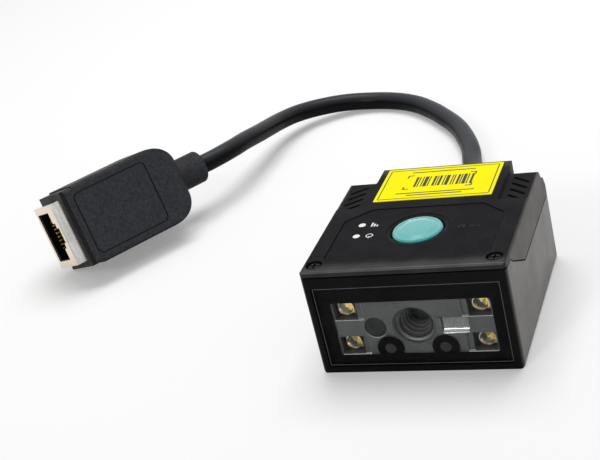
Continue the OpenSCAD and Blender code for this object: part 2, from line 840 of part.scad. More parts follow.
module window_mask()
    color("#161618")
        front_block(mask_y, seal_y)
            difference() {
                union() {
                    difference() {
                        translate([0, window_mid_z])
                            rounded(window_w - 0.2, window_h - 0.2, 0.4);
                        translate([0, clear_mid_z])
                            rounded(clear_w, clear_h, clear_r);
                    }
                    both_sides()
                        translate([eye_pitch / 2, eye_z])
                            circle(eye_ring_r);
                }
                both_sides()
                    translate([eye_pitch / 2, eye_z])
                        circle(eye_r);
            }

module window_seal()
    color("#1c1c1e")
        front_block(seal_y, ledge_y)
            difference() {
                translate([0, window_mid_z])
                    rounded(window_w - 0.4, window_h - 0.4, 0.4);
                translate([0, clear_mid_z])
                    square([ledge_open_w, ledge_open_h], center = true);
            }

// Scan engine

module engine_block()
    color("#5c5c60")
        difference() {
            union() {
                front_block(engine_y, cavity_y + 1)
                    translate([0, clear_mid_z])
                        square([engine_w, engine_front_h], center = true);
                translate([-engine_w / 2, cavity_y + 0.2, floor_t])
                    cube([engine_w, engine_rear_y - cavity_y - 0.2, engine_top - floor_t]);
            }
            // Lamp pockets, with the standing rib between upper and lower lamp
            both_sides()
                front_block(engine_y - 1, pocket_y)
                    for (z = lamp_zs)
                        translate([pocket_in, z - pocket_h / 2])
                            square([engine_w / 2 - pocket_in - pocket_rim, pocket_h]);
            // Shallow steps beside the pockets
            both_sides()
                front_block(engine_y - 1, engine_y + step_d)
                    for (z = lamp_zs)
                        translate([pocket_in - step_w, z - pocket_h / 2])
                            square([step_w + 1, pocket_h]);
            // Camera, stepped
            rod(camera_hole_r, engine_y - 1, barrel_y, 0, optic_z);
            rod(barrel_r + 0.05, engine_y, engine_rear_y + 1, 0, optic_z);
            taper(camera_hole_r + 0.5, camera_hole_r, engine_y - eps, engine_y + 0.5, 0, optic_z);
            // Aimer and light bar
            rod(aimer_hole_r, engine_y - 1, engine_y + aimer_seat, -aimer_x, optic_z);
            rod(aimer_hole_r - 0.2, engine_y, engine_rear_y - 2, -aimer_x, optic_z);
            front_block(engine_y - 1, engine_y + 6)
                translate([bar_x, optic_z])
                    rounded(bar_w + 0.2, bar_h + 0.2, 0.3);
            // Sensor eyes
            both_sides()
                rod(eye_r + 0.35, engine_y - 1, engine_y + 3, eye_pitch / 2, eye_z);
            // Room for the image sensor
            front_block(engine_rear_y - sensor_t - 0.3, engine_rear_y + 1)
                translate([0, optic_z])
                    square(sensor_side + 1, center = true);
        }

module lens_barrel()
    color("#343436")
        difference() {
            rod(barrel_r, barrel_y, barrel_end_y, 0, optic_z);
            // Anti-glare steps, each narrower than the one in front of it
            for (step = [0 : baffle_steps - 1])
                rod(barrel_r - barrel_lip - step * baffle_in, barrel_y - 1,
                    barrel_y + (step + 1) * baffle_pitch, 0, optic_z);
            rod(lens_r + 0.05, lens_y - 0.1, lens_y + lens_t + 0.6, 0, optic_z);
            rod(lens_r - 0.4, lens_y, barrel_end_y + 1, 0, optic_z);
        }

module camera_lens()
    color("#6f8f88", 0.6)
        translate([0, lens_y + lens_t, optic_z])
            rotate([90, 0, 0])
                intersection() {
                    cylinder(r = lens_r, h = lens_t);
                    translate([0, 0, lens_t - 4.5])
                        sphere(r = 4.5);
                }

module image_sensor()
    color("#2e3b52")
        front_block(engine_rear_y - sensor_t, engine_rear_y)
            translate([0, optic_z])
                square(sensor_side, center = true);

module aimer_barrel()
    color("#3c3c40")
        difference() {
            rod(aimer_hole_r - 0.25, engine_y + aimer_seat, engine_rear_y - 2, -aimer_x, optic_z);
            rod(aimer_hole_r - 0.9, engine_y, engine_rear_y, -aimer_x, optic_z);
        }

module aimer_lens()
    color("#8a8f96", 0.5)
        rod(aimer_hole_r - 0.05, engine_y + 0.4, engine_y + aimer_seat, -aimer_x, optic_z);

module light_bar()
    color("#a8aba6", 0.7) {
        front_block(engine_y + bar_step, engine_y + 6)
            translate([bar_x, optic_z])
                square([bar_w, bar_h], center = true);
        // Foot that stands out along the lower edge
        front_block(engine_y, engine_y + bar_step + eps)
            translate([bar_x - bar_w / 2, optic_z - bar_h / 2])
                square([bar_w, bar_foot]);
    }

module lamp_places()
    both_sides()
        for (z = lamp_zs)
            translate([lamp_x / 2, pocket_y, z])
                rotate([90, 0, 0])
                    children();

module lamp_bases()
    color("#d8a848")
        lamp_places()
            linear_extrude(lamp_t)
                rounded(lamp_side, lamp_side, 0.3);

module lamp_domes()
    color("#d8dde0", 0.5)
        lamp_places()
            translate([0, 0, lamp_t])
                intersection() {
                    sphere(r = dome_r);
                    cylinder(r = dome_r, h = dome_r);
                }

module eye_sensors()
    color("#48484c")
        both_sides()
            rod(eye_r + 0.3, engine_y, engine_y + 3, eye_pitch / 2, eye_z);

module engine_board()
    color("#1f4d38")
        difference() {
            front_block(engine_board_y, engine_board_y + board_t)
                translate([0, (floor_t + engine_top) / 2])
                    square([engine_w, engine_top - floor_t - 0.4], center = true);
        }

// Flat ribbon from the engine board up to the main board
module engine_flex()
    color("#a86a2c") {
        flex_t = 0.25;
        bend_r = 1.2;
        y0 = engine_board_y + board_t;
        low = board_z - 3.2;
        translate([flex_x, 0, 0])
            side_block(flex_w) {
                translate([y0, low - flex_t])
                    square([bend_r + flex_t, flex_t]);
                translate([y0 + bend_r + flex_t, low + bend_r])
                    intersection() {
                        difference() {
                            circle(bend_r + flex_t);
                            circle(bend_r);
                        }
                        translate([0, -bend_r - flex_t])
                            square(bend_r + flex_t);
                    }
                translate([y0 + 2 * bend_r + flex_t, low + bend_r])
                    square([flex_t, board_z - low - bend_r]);
            }
    }

// Boards

module main_board()
    color("#1f4d38")
        difference() {
            translate([-board_w / 2, board_y0, board_z])
                cube([board_w, board_y1 - board_y0, board_t]);
            both_sides()
                for (y = board_screw_ys)
                    translate([board_screw_x, y, 0])
                        cylinder(r = screw_r + 0.1, h = body_h);
        }

module board_screws()
    color("#9a9aa0")
        both_sides()
            for (y = board_screw_ys)
                translate([board_screw_x, y, board_z])
                    mirror([0, 0, 1])
                        cross_screw(board_t + board_screw_len);

module decoder_chip()
    color("#202024")
        translate([-chip_side / 2, chip_y, board_z - chip_t])
            cube([chip_side, chip_side, chip_t]);

module memory_chip()
    color("#202024")
        translate([-memory_x - memory_w / 2, chip_y + 1, board_z - chip_t])
            cube([memory_w, memory_d, chip_t]);

module beeper()
    color("#18181a")
        difference() {
            translate([beeper_x, beeper_y, board_top])
                cylinder(r = beeper_r, h = beeper_h);
            translate([beeper_x, beeper_y, board_top + beeper_h - 0.6])
                cylinder(r = 0.8, h = 1);
        }

module push_switch()
    color("#c8c8cc")
        difference() {
            translate([0, btn_y, board_top])
                linear_extrude(switch_h)
                    square(switch_side, center = true);
            translate([0, btn_y, stem_hole_z])
                cylinder(r = stem_r + stem_gap, h = switch_h);
        }

module indicator_lamps()
    color("#e8e8e0")
        for (y = pipe_ys)
            translate([-pipe_x - 0.8, y - 0.5, board_top])
                cube([1.6, 1, pipe_lamp_h]);

module light_pipes()
    color("#f4f4f0")
        for (y = pipe_ys)
            translate([-pipe_x, y, 0]) {
                translate([0, 0, board_top + pipe_lamp_h + 0.2])
                    cylinder(r = pipe_r, h = panel_top - board_top - pipe_lamp_h - 0.2);
                translate([0, 0, roof_z - 0.7])
                    cylinder(r = pipe_r + 0.5, h = 0.7);
            }

// Control

module trigger_button()
    color("#74c8c2")
        translate([0, btn_y, 0])
            rotate_extrude()
                difference() {
                    polygon([[0, stem_top], [stem_r, stem_top], [stem_r, flange_top - flange_t],
                        [flange_r, flange_top - flange_t], [flange_r, flange_top], [button_r, flange_top],
                        [button_r, btn_top - 0.55], [button_r - 0.25, btn_top - 0.25],
                        [button_r - rim_w, btn_top - 0.2], [button_r - rim_w - 0.15, btn_top - 0.3],
                        [button_r * 0.6, btn_top - 0.08], [button_r * 0.3, btn_top - 0.02], [0, btn_top]]);
                    // Hollow under the cap
                    translate([stem_r + 1, flange_top - flange_t - eps])
                        square([button_r - stem_r - 2, roof_t]);
                }

module switch_stem()
    color("#303034")
        translate([0, btn_y, stem_low])
            cylinder(r = stem_r, h = stem_top - stem_low);

module button_ring()
    color("#17171a")
        translate([0, btn_y, ring_floor_h])
            rotate_extrude()
                polygon([[btn_hole_r, 0], [ring_out_r, 0], [ring_out_r, ring_h], [ring_out_r - 0.25, ring_h],
                    [btn_hole_r, ring_h - ring_dish]]);

// Cable

module board_header()
    color("#e0dccc")
        translate([-header_w / 2, header_y - header_d / 2, header_z])
            cube([header_w, header_d, board_z - header_z]);

module cable_plug()
    color("#d8d4c4")
        translate([plug_in - header_w / 2, header_y - header_d / 2 + plug_in, plug_z])
            cube([header_w - 2 * plug_in, header_d - 2 * plug_in, plug_h]);

module inner_lead()
    color("#222226")
        rod(cable_r - 1, header_y + header_d / 2 - plug_in, half_d - wall - gland_flange_t - 0.1, 0, cable_z);

module cable_gland()
    color("#1d1d20")
        difference() {
            translate([0, half_d, cable_z])
                rotate([-90, 0, 0])
                    rotate_extrude()
                        polygon([[0, -wall - 0.1 - gland_flange_t], [relief_r, -wall - 0.1 - gland_flange_t],
                            [relief_r, -wall - 0.1], [gland_neck_r, -wall - 0.1], [gland_neck_r, 0.1],
                            [relief_r, 0.1], [relief_r, 1.2], [relief_r - 0.6, 1.5],
                            [relief_r - 0.7, 2.1], [relief_r - 0.15, 2.4],
                            [relief_r - 0.3, 3.3], [relief_r - 0.8, 3.6], [relief_r - 0.85, 4.1],
                            [relief_tip_r + 0.2, 4.4], [relief_tip_r, relief_len - 0.3],
                            [relief_tip_r - 0.2, relief_len], [0, relief_len]]);
            rod(cable_r + cable_gap, relief_end_y - cable_seat, relief_end_y + 1, 0, cable_z);
        }

// A round tube of radius r along a route, with a ring of points at each route point
module tube(route, r, sides) {
    rings = len(route);
    points = [for (i = [0 : rings - 1])
        let (ahead = heading(route, i), across = unit(cross(ahead, [0, 0, 1])), above = cross(across, ahead))
        for (k = [0 : sides - 1])
            route[i] + r * (cos(360 * k / sides) * across + sin(360 * k / sides) * above)];
    walls = [for (i = [0 : rings - 2], k = [0 : sides - 1])
        let (next = (k + 1) % sides)
        [i * sides + k, i * sides + next, (i + 1) * sides + next, (i + 1) * sides + k]];
    start = [for (k = [sides - 1 : -1 : 0]) k];
    end = [for (k = [0 : sides - 1]) (rings - 1) * sides + k];
    polyhedron(points, concat([start], walls, [end]));
}

module cable()
    color("#1b1b1e")
        tube(cable_route, cable_r, cable_sides);

// Connector. In its own frame +Y runs from the mouth to the cable, +Z along its width and +X out of its
// grip face.

module place_connector()
    translate([conn_x, conn_y, conn_z])
        rotate([0, -conn_tilt, conn_heading - 90])
            children();

// Half outline of the collar with its rounded end, from the end upwards
module collar_outline() {
    square([collar_r - collar_round, collar_len + 2]);
    translate([0, collar_round])
        square([collar_r, collar_len + 2 - collar_round]);
    intersection() {
        translate([collar_r - collar_round, collar_round])
            circle(collar_round);
        square([collar_r, collar_len]);
    }
}

// Narrow view of the moulding, with its front chamfers and rounded rear corners
module conn_side_view()
    difference() {
        union() {
            translate([-conn_t / 2, shell_out])
                square([conn_t, conn_len - conn_side_r]);
            translate([0, shell_out + conn_len / 2])
                rounded(conn_t, conn_len, conn_side_r);
        }
        for (side = [-1, 1])
            polygon([[side * (conn_t / 2 - conn_chamfer - eps), shell_out - eps],
                [side * (conn_t / 2 + eps), shell_out - eps],
                [side * (conn_t / 2 + eps), shell_out + conn_chamfer + eps]]);
    }

// Outline of the grip field, grown by gap
module grip_outline(gap = 0)
    translate([shell_out + grip_front + (conn_len - grip_front - grip_rear) / 2, 0])
        rounded(conn_len - grip_front - grip_rear + 2 * gap, conn_w - 2 * grip_side + 2 * gap, grip_r + gap);

module connector_overmold()
    color("#2e3036")
        place_connector()
            difference() {
                union() {
                    intersection() {
                        union() {
                            front_block(shell_out, shell_out + nose_len + eps)
                                rounded(conn_t, conn_w - 2 * nose_step, conn_edge_r);
                            front_block(shell_out + nose_len, shell_out + conn_len)
                                rounded(conn_t, conn_w, conn_edge_r);
                        }
                        // Rounded rear corners in the wide view
                        rotate([90, 0, 90])
                            linear_extrude(2 * conn_t, center = true) {
                                translate([shell_out, -conn_w / 2])
                                    square([conn_len - conn_rear_r, conn_w]);
                                translate([shell_out + conn_len / 2, 0])
                                    rounded(conn_len, conn_w, conn_rear_r);
                            }
                        linear_extrude(2 * conn_w, center = true)
                            conn_side_view();
                    }
                    // Collar with a rounded end
                    translate([0, collar_end, 0])
                        rotate([90, 0, 0])
                            rotate_extrude()
                                collar_outline();
                }
                // Groove round the grip field
                translate([conn_t / 2 - groove_d, 0, 0])
                    rotate([90, 0, 90])
                        linear_extrude(2 * groove_d)
                            difference() {
                                grip_outline();
                                grip_outline(-groove_w);
                            }
                // Seat of the metal shell and of the cable
                front_block(shell_out - 1, shell_len)
                    square([shell_t + 0.1, shell_w + 0.1], center = true);
                rod(cable_r + cable_gap, cable_end, collar_end + 1, 0, 0);
            }

// Outline of the socket's mouth with the stepped keyway for a plug's latch
module mouth_outline(gap = 0)
    translate([-mouth_off, 0]) {
        square([mouth_t + 2 * gap, mouth_w + 2 * gap], center = true);
        translate([0, -key_w / 2 - gap])
            square([mouth_t / 2 + key_d + gap, key_w + 2 * gap]);
        translate([0, -slot_w / 2 - gap])
            square([mouth_t / 2 + slot_d + gap, slot_w + 2 * gap]);
    }

module jack_shell()
    color("#d8d4cc")
        place_connector()
            difference() {
                front_block(0, shell_len)
                    square([shell_t, shell_w], center = true);
                front_block(sheet_t, shell_len + 1)
                    square([shell_t - 2 * sheet_t, shell_w - 2 * sheet_t], center = true);
                front_block(-1, 1)
                    mouth_outline(0.2);
            }

module jack_insert()
    color("#17171a")
        place_connector()
            difference() {
                front_block(sheet_t, shell_len)
                    square([shell_t - 2 * sheet_t - 0.1, shell_w - 2 * sheet_t - 0.1], center = true);
                front_block(0, sheet_t + mouth_d)
                    mouth_outline();
            }

// Spring contacts that slope from the wall opposite the keyway into the mouth
module jack_contacts()
    color("#d0a040")
        place_connector()
            for (i = [0 : contact_count - 1])
                translate([0, 0, (i - (contact_count - 1) / 2) * contact_pitch])
                    linear_extrude(0.45, center = true)
                        polygon([[mouth_low + 0.02, 2.2], [mouth_low + 0.4, 2], [mouth_low + 2.6, mouth_d],
                            [mouth_low + 2.6, sheet_t + mouth_d - 0.02],
                            [mouth_low + 2.2, sheet_t + mouth_d - 0.02], [mouth_low + 2.2, mouth_d]]);

lower_housing();
top_cover();
top_panel();
rear_label();
cover_screws();
mount_inserts();
scan_window();
window_mask();
window_seal();
engine_block();
lens_barrel();
camera_lens();
image_sensor();
aimer_barrel();
aimer_lens();
light_bar();
lamp_bases();
lamp_domes();
eye_sensors();
engine_board();
engine_flex();
main_board();
board_screws();
decoder_chip();
memory_chip();
beeper();
push_switch();
indicator_lamps();
light_pipes();
trigger_button();
switch_stem();
button_ring();
board_header();
cable_plug();
inner_lead();
cable_gland();
cable();
connector_overmold();
jack_shell();
jack_insert();
jack_contacts();
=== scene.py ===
import math
import bpy
from mathutils import Matrix, Vector


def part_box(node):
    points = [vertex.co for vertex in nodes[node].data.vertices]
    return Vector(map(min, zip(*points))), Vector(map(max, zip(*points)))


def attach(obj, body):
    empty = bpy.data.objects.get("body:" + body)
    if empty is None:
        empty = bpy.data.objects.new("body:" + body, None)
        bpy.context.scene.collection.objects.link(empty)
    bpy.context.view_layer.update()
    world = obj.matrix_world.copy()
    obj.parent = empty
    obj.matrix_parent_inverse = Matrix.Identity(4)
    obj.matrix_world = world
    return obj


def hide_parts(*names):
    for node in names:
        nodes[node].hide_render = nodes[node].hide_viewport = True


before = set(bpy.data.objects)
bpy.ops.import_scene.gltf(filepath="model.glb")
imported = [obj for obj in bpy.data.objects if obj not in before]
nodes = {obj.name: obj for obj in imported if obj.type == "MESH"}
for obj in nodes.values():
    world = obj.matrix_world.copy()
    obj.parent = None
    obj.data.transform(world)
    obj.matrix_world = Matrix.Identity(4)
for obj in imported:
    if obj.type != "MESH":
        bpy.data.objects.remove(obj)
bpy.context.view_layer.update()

# Product camera
# A camera at the right front of the reader, a little above it, rolled so that the upright edges lean to the
# left in the picture. The lens is a long one, so the edges stay nearly parallel.
MM = 0.001
scene = bpy.context.scene
camera_data = bpy.data.cameras.new("product_camera")
camera_data.sensor_width = 36
camera_data.lens = 81.28
camera_data.clip_start = 0.01
camera_data.clip_end = 20
camera = bpy.data.objects.new("product_camera", camera_data)
scene.collection.objects.link(camera)
camera.matrix_world = Matrix((
    (0.92700, 0.05739, 0.37065, 78.63 * MM),
    (0.29923, 0.48267, -0.82310, -236.32 * MM),
    (-0.22614, 0.87392, 0.43026, 145.10 * MM),
    (0, 0, 0, 1)))
scene.camera = camera

# Cable
# A round black multi-core lead with a soft extruded jacket and a painted highlight along its upper side. It
# leaves the strain relief, comes down to the table, lies there in one loose bend and rises again to the
# collar of the socket.
cable_r = 2.5
outlet_z = 10
socket_x = -102.5
socket_y = 21.6
socket_half_w = 10.3
socket_half_t = 8.8
socket_edge_r = 1.0
heading = math.radians(54.5)
tilt = math.radians(20.5)
collar_z = (socket_edge_r + (socket_half_w - socket_edge_r) * math.cos(tilt)
            + (socket_half_t - socket_edge_r) * math.sin(tilt))


def on_socket_axis(d):
    return (socket_x + d * math.cos(heading), socket_y + d * math.sin(heading), collar_z)


cable_route = [
    (0, 24.5, outlet_z), (0, 27.5, outlet_z), (0, 33, outlet_z), (-0.5, 39, 9.2), (-1.5, 46, 7.2),
    (-3, 53, 4.8), (-4.8, 60, 3), (-7, 67, cable_r), (-9, 75, cable_r), (-12, 83, cable_r),
    (-16, 91, cable_r), (-21, 98, cable_r), (-26.5, 104.5, cable_r), (-32.5, 109.9, cable_r),
    (-39.3, 113.4, cable_r), (-46.8, 114.8, 2.7), (-54.2, 113.7, 3.4), (-60.8, 110, 4.3),
    (-65.8, 104.2, 5.4), (-68.5, 97, 6.6), (-69.4, 89.5, 8), (-69.7, 82, 9.6),
    (-70.3, 74.4, 11.2), (-71.6, 67, 12.2), on_socket_axis(48), on_socket_axis(44), on_socket_axis(41)]
cable_curve = bpy.data.curves.new("cable_jacket", "CURVE")
cable_curve.dimensions = "3D"
cable_curve.resolution_u = 8
cable_curve.bevel_depth = 1
cable_curve.bevel_resolution = 8
cable_curve.use_fill_caps = True
spline = cable_curve.splines.new("BEZIER")
spline.bezier_points.add(len(cable_route) - 1)
for point, place in zip(spline.bezier_points, cable_route):
    point.co = Vector(place) * MM
    point.radius = cable_r * MM
    point.handle_left_type = "AUTO"
    point.handle_right_type = "AUTO"
cable_jacket = bpy.data.objects.new("cable_jacket", cable_curve)
scene.collection.objects.link(cable_jacket)
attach(cable_jacket, "reader")
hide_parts("cable")


def add_node(tree, kind, inputs=(), **settings):
    # A shader node with its settings and the values of its inputs
    node = tree.nodes.new("ShaderNode" + kind)
    for setting, value in settings.items():
        setattr(node, setting, value)
    for socket, value in dict(inputs).items():
        node.inputs[socket].default_value = value
    return node


# The surface of a moulding: a fine pebbled grain for the bump, a slow drift of tone for the colour, and
# faint patches where fingers have polished it for the roughness.
mould_surface = bpy.data.node_groups.new("mould_surface", "ShaderNodeTree")
mould_surface.interface.new_socket(name="Vector", in_out="INPUT", socket_type="NodeSocketVector")
for input_name in ("Grain Scale", "Tone Scale"):
    mould_surface.interface.new_socket(name=input_name, in_out="INPUT", socket_type="NodeSocketFloat")
for output_name in ("Height", "Tone", "Handling"):
    mould_surface.interface.new_socket(name=output_name, in_out="OUTPUT", socket_type="NodeSocketFloat")
group_in = mould_surface.nodes.new("NodeGroupInput")
group_out = mould_surface.nodes.new("NodeGroupOutput")
pebbles = add_node(mould_surface, "TexNoise", {"Detail": 2, "Roughness": 0.55})
drift = add_node(mould_surface, "TexNoise", {"Detail": 4})
speckle = add_node(mould_surface, "Mix", {0: 0.4}, data_type="FLOAT")
contrast = add_node(mould_surface, "MapRange", {"From Min": 0.32, "From Max": 0.68})
touched = add_node(mould_surface, "TexNoise", {"Scale": 160, "Detail": 3, "Distortion": 0.8})
polish = add_node(mould_surface, "MapRange", {"From Min": 0.4, "From Max": 0.7})
wire = mould_surface.links.new
for texture in (pebbles, drift, touched):
    wire(group_in.outputs["Vector"], texture.inputs["Vector"])
wire(group_in.outputs["Grain Scale"], pebbles.inputs["Scale"])
wire(group_in.outputs["Tone Scale"], drift.inputs["Scale"])
wire(pebbles.outputs["Fac"], group_out.inputs["Height"])
wire(drift.outputs["Fac"], speckle.inputs[2])
wire(pebbles.outputs["Fac"], speckle.inputs[3])
wire(speckle.outputs[0], contrast.inputs["Value"])
wire(contrast.outputs["Result"], group_out.inputs["Tone"])
wire(touched.outputs["Fac"], polish.inputs["Value"])
wire(polish.outputs["Result"], group_out.inputs["Handling"])


def set_shader(material, sockets):
    # Values that are the same all over the surface
    for socket, value in sockets.items():
        material.node_tree.nodes["Principled BSDF"].inputs[socket].default_value = value


def moulding(name, dark, light, rough, grain, specular, tone=9, metal=0):
    # Rough is the roughness of dull and of polished spots. Grain is the width and depth of the pebbles, and
    # tone the width of the patches between the dark and the light colour, in millimetres.
    material = bpy.data.materials.new(name)
    material.use_nodes = True
    tree = material.node_tree
    dull, polished = rough
    grain_w, grain_depth = grain
    place = add_node(tree, "TexCoord", name="place")
    surface = add_node(tree, "Group", {"Grain Scale": 1 / (grain_w * MM), "Tone Scale": 1 / (tone * MM)},
                       name="surface", node_tree=mould_surface)
    colour = add_node(tree, "Mix", {6: (*dark, 1), 7: (*light, 1)}, data_type="RGBA")
    gloss = add_node(tree, "MapRange", {"To Min": dull, "To Max": polished})
    bump = add_node(tree, "Bump", {"Strength": 0.6, "Distance": grain_depth * MM})
    shader = tree.nodes["Principled BSDF"]
    tree.links.new(place.outputs["Object"], surface.inputs["Vector"])
    tree.links.new(surface.outputs["Tone"], colour.inputs[0])
    tree.links.new(colour.outputs[2], shader.inputs["Base Color"])
    tree.links.new(surface.outputs["Handling"], gloss.inputs["Value"])
    tree.links.new(gloss.outputs["Result"], shader.inputs["Roughness"])
    tree.links.new(surface.outputs["Height"], bump.inputs["Height"])
    tree.links.new(bump.outputs["Normal"], shader.inputs["Normal"])
    set_shader(material, {"Specular IOR Level": specular, "Metallic": metal})
    return material


def along(tree, direction, source="Object"):
    # How far a point lies in a direction, or with source Normal, how squarely its face looks that way
    reach = add_node(tree, "VectorMath", {1: direction}, operation="DOT_PRODUCT")
    tree.links.new(tree.nodes["place"].outputs[source], reach.inputs[0])
    return reach.outputs["Value"]


def fade(tree, value, start, end, low=0, high=1):
    # Goes from low to high as the value goes from start to end
    step = add_node(tree, "MapRange", {"From Min": start, "From Max": end, "To Min": low, "To Max": high})
    tree.links.new(value, step.inputs["Value"])
    return step.outputs["Result"]


def tint_where(tree, mask, tint):
    # Another colour where the mask is 1
    base = tree.nodes["Principled BSDF"].inputs["Base Color"]
    tinted = add_node(tree, "Mix", {7: (*tint, 1)}, data_type="RGBA")
    tree.links.new(mask, tinted.inputs[0])
    tree.links.new(base.links[0].from_socket, tinted.inputs[6])
    tree.links.new(tinted.outputs[2], base)


def dress(piece, material):
    piece.data.materials.clear()
    piece.data.materials.append(material)


jacket_rubber = moulding("jacket_rubber", (0.0012, 0.0013, 0.0016), (0.0025, 0.0027, 0.0032),
                         rough=(0.34, 0.26), grain=(0.5, 0.008), specular=0.02)
tree = jacket_rubber.node_tree
# Painted highlight: faces of the jacket that look upwards get a paler colour
painted_top_highlight = fade(tree, along(tree, (0, 0, 1), "Normal"), 0.3, 1)
tint_where(tree, painted_top_highlight, (0.046, 0.048, 0.054))
set_shader(jacket_rubber, {"Coat Weight": 0.12, "Coat Roughness": 0.24})
dress(cable_jacket, jacket_rubber)

# Lower housing
# The tray of the reader with floor, walls and front frame, injection moulded in one piece from black
# plastic. Its flat sides have a satin skin that turns grey where light falls on it, and a lighter brown
# colour is painted on them as their warm sheen.
half_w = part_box("lower_housing")[1].x / MM
side_starts = half_w - 0.5
side_full = half_w - 0.1
painted_side_sheen = (0.031, 0.024, 0.0175)


def either_way(tree, value):
    # The same value on both sides of the middle
    span = add_node(tree, "Math", operation="ABSOLUTE")
    tree.links.new(value, span.inputs[0])
    return span.outputs[0]


def satin_zone(material, direction, dull_at, satin_at, weight):
    # A mottled satin skin that sets in between two places along a direction, on both sides of the middle
    tree = material.node_tree
    coat = tree.nodes["Principled BSDF"].inputs["Coat Weight"]
    mottle = fade(tree, tree.nodes["surface"].outputs["Tone"], 0, 1, 0.75 * weight, 1.25 * weight)
    zone = fade(tree, either_way(tree, along(tree, direction)), dull_at * MM, satin_at * MM)
    tree.links.new(mottle, zone.node.inputs["To Max"])
    zones = add_node(tree, "Math", {1: 0}, operation="MAXIMUM")
    if coat.is_linked:
        tree.links.new(coat.links[0].from_socket, zones.inputs[1])
    tree.links.new(zone, zones.inputs[0])
    tree.links.new(zones.outputs[0], coat)


# A satin coat on the sides, and a lighter brown colour painted on them as a sheen
def satin_sides_painted_sheen(material, weight):
    tree = material.node_tree
    satin_zone(material, (1, 0, 0), side_starts, side_full, weight)
    from_middle = either_way(tree, along(tree, (1, 0, 0)))
    tint_where(tree, fade(tree, from_middle, side_starts * MM, side_full * MM), painted_side_sheen)


housing_plastic = moulding("housing_plastic", (0.004, 0.004, 0.004), (0.008, 0.0078, 0.0076),
                           rough=(0.42, 0.34), grain=(0.16, 0.006), specular=0.05)
satin_sides_painted_sheen(housing_plastic, weight=0.72)
set_shader(housing_plastic, {"Coat Roughness": 0.38, "Coat IOR": 1.6})
dress(nodes["lower_housing"], housing_plastic)

# Mounting inserts
# Four turned brass bushes with plain bores for the mounting screws. They are pressed hot into bosses of the
# floor, where the plastic sets around them and holds them.
insert_brass = moulding("insert_brass", (0.42, 0.27, 0.08), (0.55, 0.37, 0.13),
                        rough=(0.4, 0.28), grain=(0.12, 0.008), specular=0.5, metal=1)
dress(nodes["mount_inserts"], insert_brass)

# Window seal
# A die-cut frame of soft black foam. It lies between the window and its ledge in the housing, and keeps dust
# off the scan engine.
seal_foam = moulding("seal_foam", (0.006, 0.006, 0.006), (0.012, 0.012, 0.012),
                     rough=(0.95, 0.9), grain=(0.3, 0.06), specular=0.2)
dress(nodes["window_seal"], seal_foam)

# Window mask
# Black ink, screen printed on the back of the window. It leaves the clear field and two sensor eyes open,
# and a dot of grey filter film closes each eye.
mask_ink = moulding("mask_ink", (0.01, 0.01, 0.01), (0.016, 0.016, 0.016),
                    rough=(0.75, 0.6), grain=(0.3, 0.004), specular=0.02)
dress(nodes["window_mask"], mask_ink)
eye_low, eye_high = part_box("eye_sensors")
mask_low, mask_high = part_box("window_mask")
eye_r = (eye_high.z - eye_low.z) / 2
film_r = eye_r - 0.32 * MM


def start_piece(name):
    # An empty mesh in edit mode, which takes the shapes that are added next
    bpy.ops.object.select_all(action="DESELECT")
    bpy.ops.mesh.primitive_plane_add(size=1, location=(0, 0, 0))
    piece = bpy.context.object
    piece.name = name
    bpy.ops.object.mode_set(mode="EDIT")
    bpy.ops.mesh.select_all(action="SELECT")
    bpy.ops.mesh.delete(type="VERT")
    return piece


eye_films = start_piece("eye_films")
for side in (-1, 1):
    middle = (side * (eye_high.x - eye_r), (mask_low.y + mask_high.y) / 2, (eye_low.z + eye_high.z) / 2)
    bpy.ops.mesh.primitive_cylinder_add(vertices=48, radius=film_r, depth=mask_high.y - mask_low.y,
                                        location=middle, rotation=(math.pi / 2, 0, 0))
bpy.ops.object.mode_set(mode="OBJECT")
film_grey = moulding("film_grey", (0.032, 0.032, 0.033), (0.048, 0.048, 0.049),
                     rough=(0.4, 0.3), grain=(0.4, 0.002), specular=0.3, tone=1)
dress(eye_films, film_grey)
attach(eye_films, "reader")

# Scan window
# A clear polished plastic plate with a coating that hardly reflects, glued into the front frame a little
# below its face. A thin pale line runs along the border of its front, partly its ground edge and partly a
# painted highlight.


def clear_plastic(name, sockets, scale, detail):
    # A clear material, and the slow streaks that its flow or wiping has left
    material = bpy.data.materials.new(name)
    material.use_nodes = True
    tree = material.node_tree
    place = add_node(tree, "TexCoord")
    streaks = add_node(tree, "TexNoise", {"Scale": scale, "Detail": detail})
    tree.links.new(place.outputs["Object"], streaks.inputs["Vector"])
    set_shader(material, {"Transmission Weight": 1, **sockets})
    return material, streaks.outputs["Fac"]


def let_light_in(tree, tint):
    # Light on its way to and from what lies behind the glass passes it unbent
    clear = add_node(tree, "BsdfTransparent", {"Color": (*tint, 1)})
    rays = add_node(tree, "LightPath")
    glass = tree.nodes["Principled BSDF"].outputs["BSDF"]
    for kind in ("Is Shadow Ray", "Is Diffuse Ray", "Is Glossy Ray"):
        lit = add_node(tree, "MixShader")
        tree.links.new(rays.outputs[kind], lit.inputs["Fac"])
        tree.links.new(glass, lit.inputs[1])
        tree.links.new(clear.outputs["BSDF"], lit.inputs[2])
        glass = lit.outputs["Shader"]
    tree.links.new(glass, tree.nodes["Material Output"].inputs["Surface"])


def break_edges(piece, width, segments):
    # Small rounded edges on a CAD piece, whose loose triangles are merged first
    merge = piece.modifiers.new("merge", "WELD")
    merge.merge_threshold = 0.001 * MM
    edges = piece.modifiers.new("edges", "BEVEL")
    edges.width = width * MM
    edges.segments = segments
    edges.limit_method = "ANGLE"
    edges.angle_limit = math.radians(50)
    return edges


ink_lift = 0.02


def finish_print(sheet, ink, lift=(0, 0, ink_lift * MM)):
    bpy.ops.mesh.select_all(action="SELECT")
    bpy.ops.mesh.extrude_region_move(TRANSFORM_OT_translate={"value": lift})
    bpy.ops.mesh.select_all(action="SELECT")
    bpy.ops.mesh.normals_make_consistent(inside=False)
    bpy.ops.object.mode_set(mode="OBJECT")
    dress(sheet, ink)
    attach(sheet, "reader")


